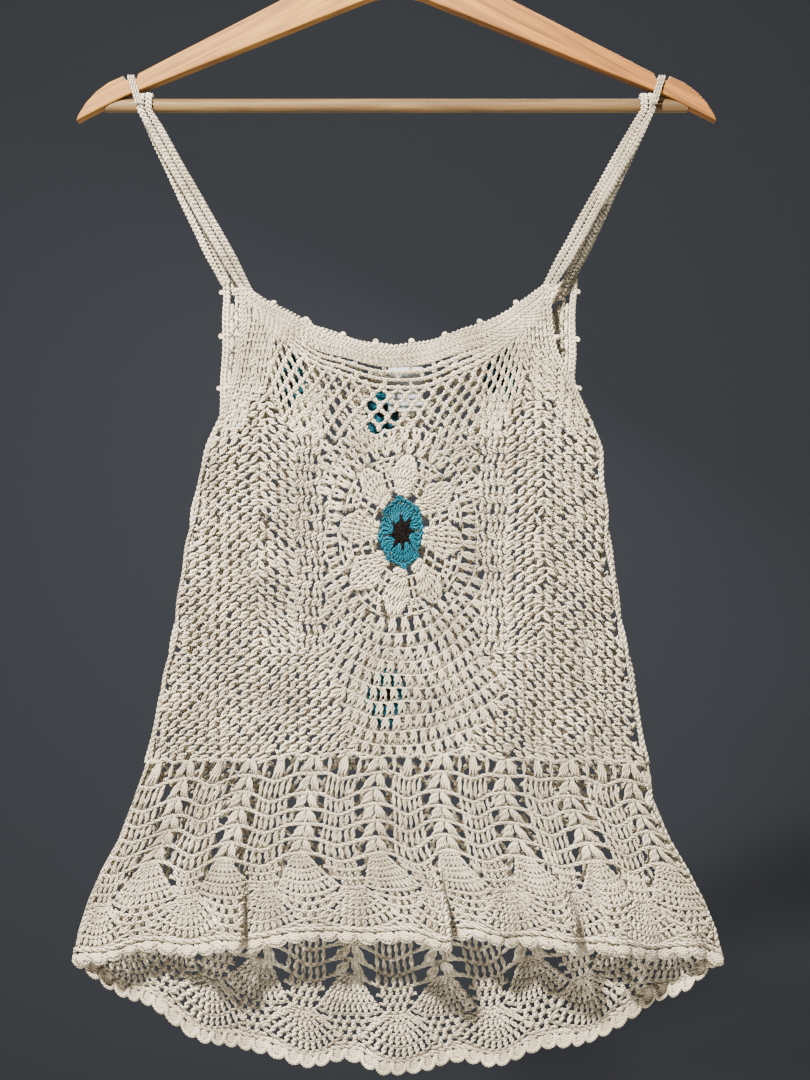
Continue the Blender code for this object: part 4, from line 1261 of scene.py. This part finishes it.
# x and z of the foot at the front and at the back.
STRAP_FEET = ((0.1022, -0.3015), (0.1190, -0.2930))
STRAP_HALF_WIDTH = 0.0055
STRAP_FOOT_HALF_WIDTH = 0.0038
STRAP_CHART_HALF = 0.0066
STRAP_PITCH = 0.0030
STRAP_RIDGE = 0.0034
# Where the stitches of a rib's two columns start, and how high they stand.
STRAP_COLUMNS = ((0.0060, 0.0002), (0.0006, 0.0004))
STRAP_WIDENS_OVER = 0.030
# Below the bar the strap's width turns from level to square to the strap between these two distances.
STRAP_LEVEL, STRAP_LEANS = 0.004, 0.030
HANDS = (("left", -1), ("right", 1))


def ribbon_placer(even, centres, widths, narrow):
    """Chart to ribbon: a across from the middle, b along it, and height away from what it lies on."""
    normals = unit(np.cross(widths, np.gradient(centres, axis=0)))

    def place(points):
        """Points of the middle line, moved along the width and then along the normal."""
        a, b, height = points.T

        def at(table):
            """Table read at the points' distances."""
            return np.stack([np.interp(b, even, column) for column in table.T], axis=-1)

        a = a * np.interp(b, even, narrow)
        return at(centres) + at(widths) * a[:, None] + at(normals) * height[:, None]

    return place


def strap_line(sign):
    """Distances, middle line and width directions of a strap: up, half round the bar, and down again."""
    legs = []
    for (x, z), side in zip(STRAP_FEET, (-1, 1)):
        foot = np.array([sign * x, side * ARMHOLE_GAP_HALF, z])
        head = np.array([sign * STRAP_TOP_X, side * STRAP_TURN, BAR_HEIGHT - STRAP_LEVEL])
        legs.append(foot + np.linspace(0, 1, 120)[:, None] * (head - foot))
    angle = np.linspace(0, math.pi, 40)
    y, z = -STRAP_TURN * np.cos(angle), BAR_HEIGHT + STRAP_TURN * np.sin(angle)
    over = np.stack([np.full(40, sign * STRAP_TOP_X), y, z], axis=-1)
    line = np.concatenate([legs[0], over, legs[1][::-1]])
    even, centres = evenly(line, count=400)
    along = np.gradient(centres, axis=0)
    lean = np.abs(np.arctan2(sign * along[:, 0], np.abs(along[:, 2])))
    upright = np.clip((centres[:, 2] - (BAR_HEIGHT - STRAP_LEANS)) / (STRAP_LEANS - STRAP_LEVEL), 0, 1)
    tilt = sign * lean * (1 - upright)
    return even, centres, np.stack([np.cos(tilt), np.zeros(len(tilt)), -np.sin(tilt)], axis=-1)


def strap_strands(length):
    """Two ribs, mirror images of each other, each of two columns of stitches that slant up to its ridge."""
    strands = []
    b = np.arange(0.0012, length - STRAP_PITCH, STRAP_PITCH)
    for way in (-1, 1):
        for start, lift in STRAP_COLUMNS:
            ridge = spots(way * STRAP_RIDGE, b + 0.0026)
            strands += posts(spots(way * start, b), ridge, ply=0.00088, lift=lift)
    return strands


for hand, sign in HANDS:
    even, centres, widths = strap_line(sign)
    growth = ease(np.minimum(even, even[-1] - even) / STRAP_WIDENS_OVER)
    half = STRAP_FOOT_HALF_WIDTH + (STRAP_HALF_WIDTH - STRAP_FOOT_HALF_WIDTH) * growth
    place = ribbon_placer(even, centres, widths, half / STRAP_CHART_HALF)
    strap = yarn_piece("strap_cloth_" + hand, strap_strands(even[-1]), place, "strap_" + hand, waver=0.0002)

# ------------------------------------------------------------------------------
# Hang loops: narrow strips of three chains over the hanger's arms, sewn to the straps below the notches.

# Middle line of the right loop's front half, from the arm's top down to the strap.
HANG_LOOP_PATH = np.array(
    [
        (0.1848, 0.0000, -0.1489),
        (0.1848, -0.0052, -0.1490),
        (0.1846, -0.0069, -0.1498),
        (0.1842, -0.0073, -0.1516),
        (0.1826, -0.0075, -0.1560),
        (0.1812, -0.0087, -0.1600),
        (0.1797, -0.0099, -0.1650),
        (0.1782, -0.0101, -0.1695),
    ]
)
LOOP_STEPS = 200
LOOP_CHAINS = (-0.0017, 0.0, 0.0017)

for hand, sign in HANDS:
    front = HANG_LOOP_PATH * (sign, 1, 1)
    even, centres = evenly(np.concatenate([front[::-1], front[1:] * (1, -1, 1)]), count=LOOP_STEPS)
    place = ribbon_placer(even, centres, np.tile([1.0, 0.0, 0.0], (LOOP_STEPS, 1)), np.ones(LOOP_STEPS))
    strands = []
    for a in LOOP_CHAINS:
        strands += chain(spots(a, [0.0, even[-1]]), 0.0036, ply=0.00055, spread=0.0005, lift=0.0)
    yarn_piece("loop_cloth_" + hand, strands, place, "hang_loop_" + hand, waver=0.0001)

# ------------------------------------------------------------------------------
# Label: a small blank tab of satin ribbon, sewn in under the back neck band and hanging inside. Fine cross
# threads show as bump over its plain grey.

LABEL_SIZE = (0.024, 0.031)
LABEL_LEFT, LABEL_DEPTH, LABEL_TOP = -0.0055, 0.0094, -0.3500

satin, shader = new_material("label_satin", {"Base Color": (0.20, 0.225, 0.235, 1.0), "Roughness": 0.42})
where = add_node(shader, "TexCoord", "Object", {})
weave = {"Vector": where, "Scale": 900.0, "Distortion": 0.4}
threads = add_node(shader, "TexWave", "Fac", weave, bands_direction="Z")
relief = {"Height": threads, "Strength": 0.3, "Distance": 0.0001}
fill(shader, {"Normal": add_node(shader, "Bump", "Normal", relief)})
u, v = np.meshgrid(np.linspace(0, 1, 13), np.linspace(0, 1, 17))
bend = LABEL_DEPTH - 0.0006 * v * v + 0.0002 * np.sin(5 * u)
label_points = np.stack([LABEL_LEFT + LABEL_SIZE[0] * u, bend, LABEL_TOP - LABEL_SIZE[1] * v], axis=-1)
label = grid_mesh("satin_label", label_points, satin)
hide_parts("neck_label")
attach(label, "root")
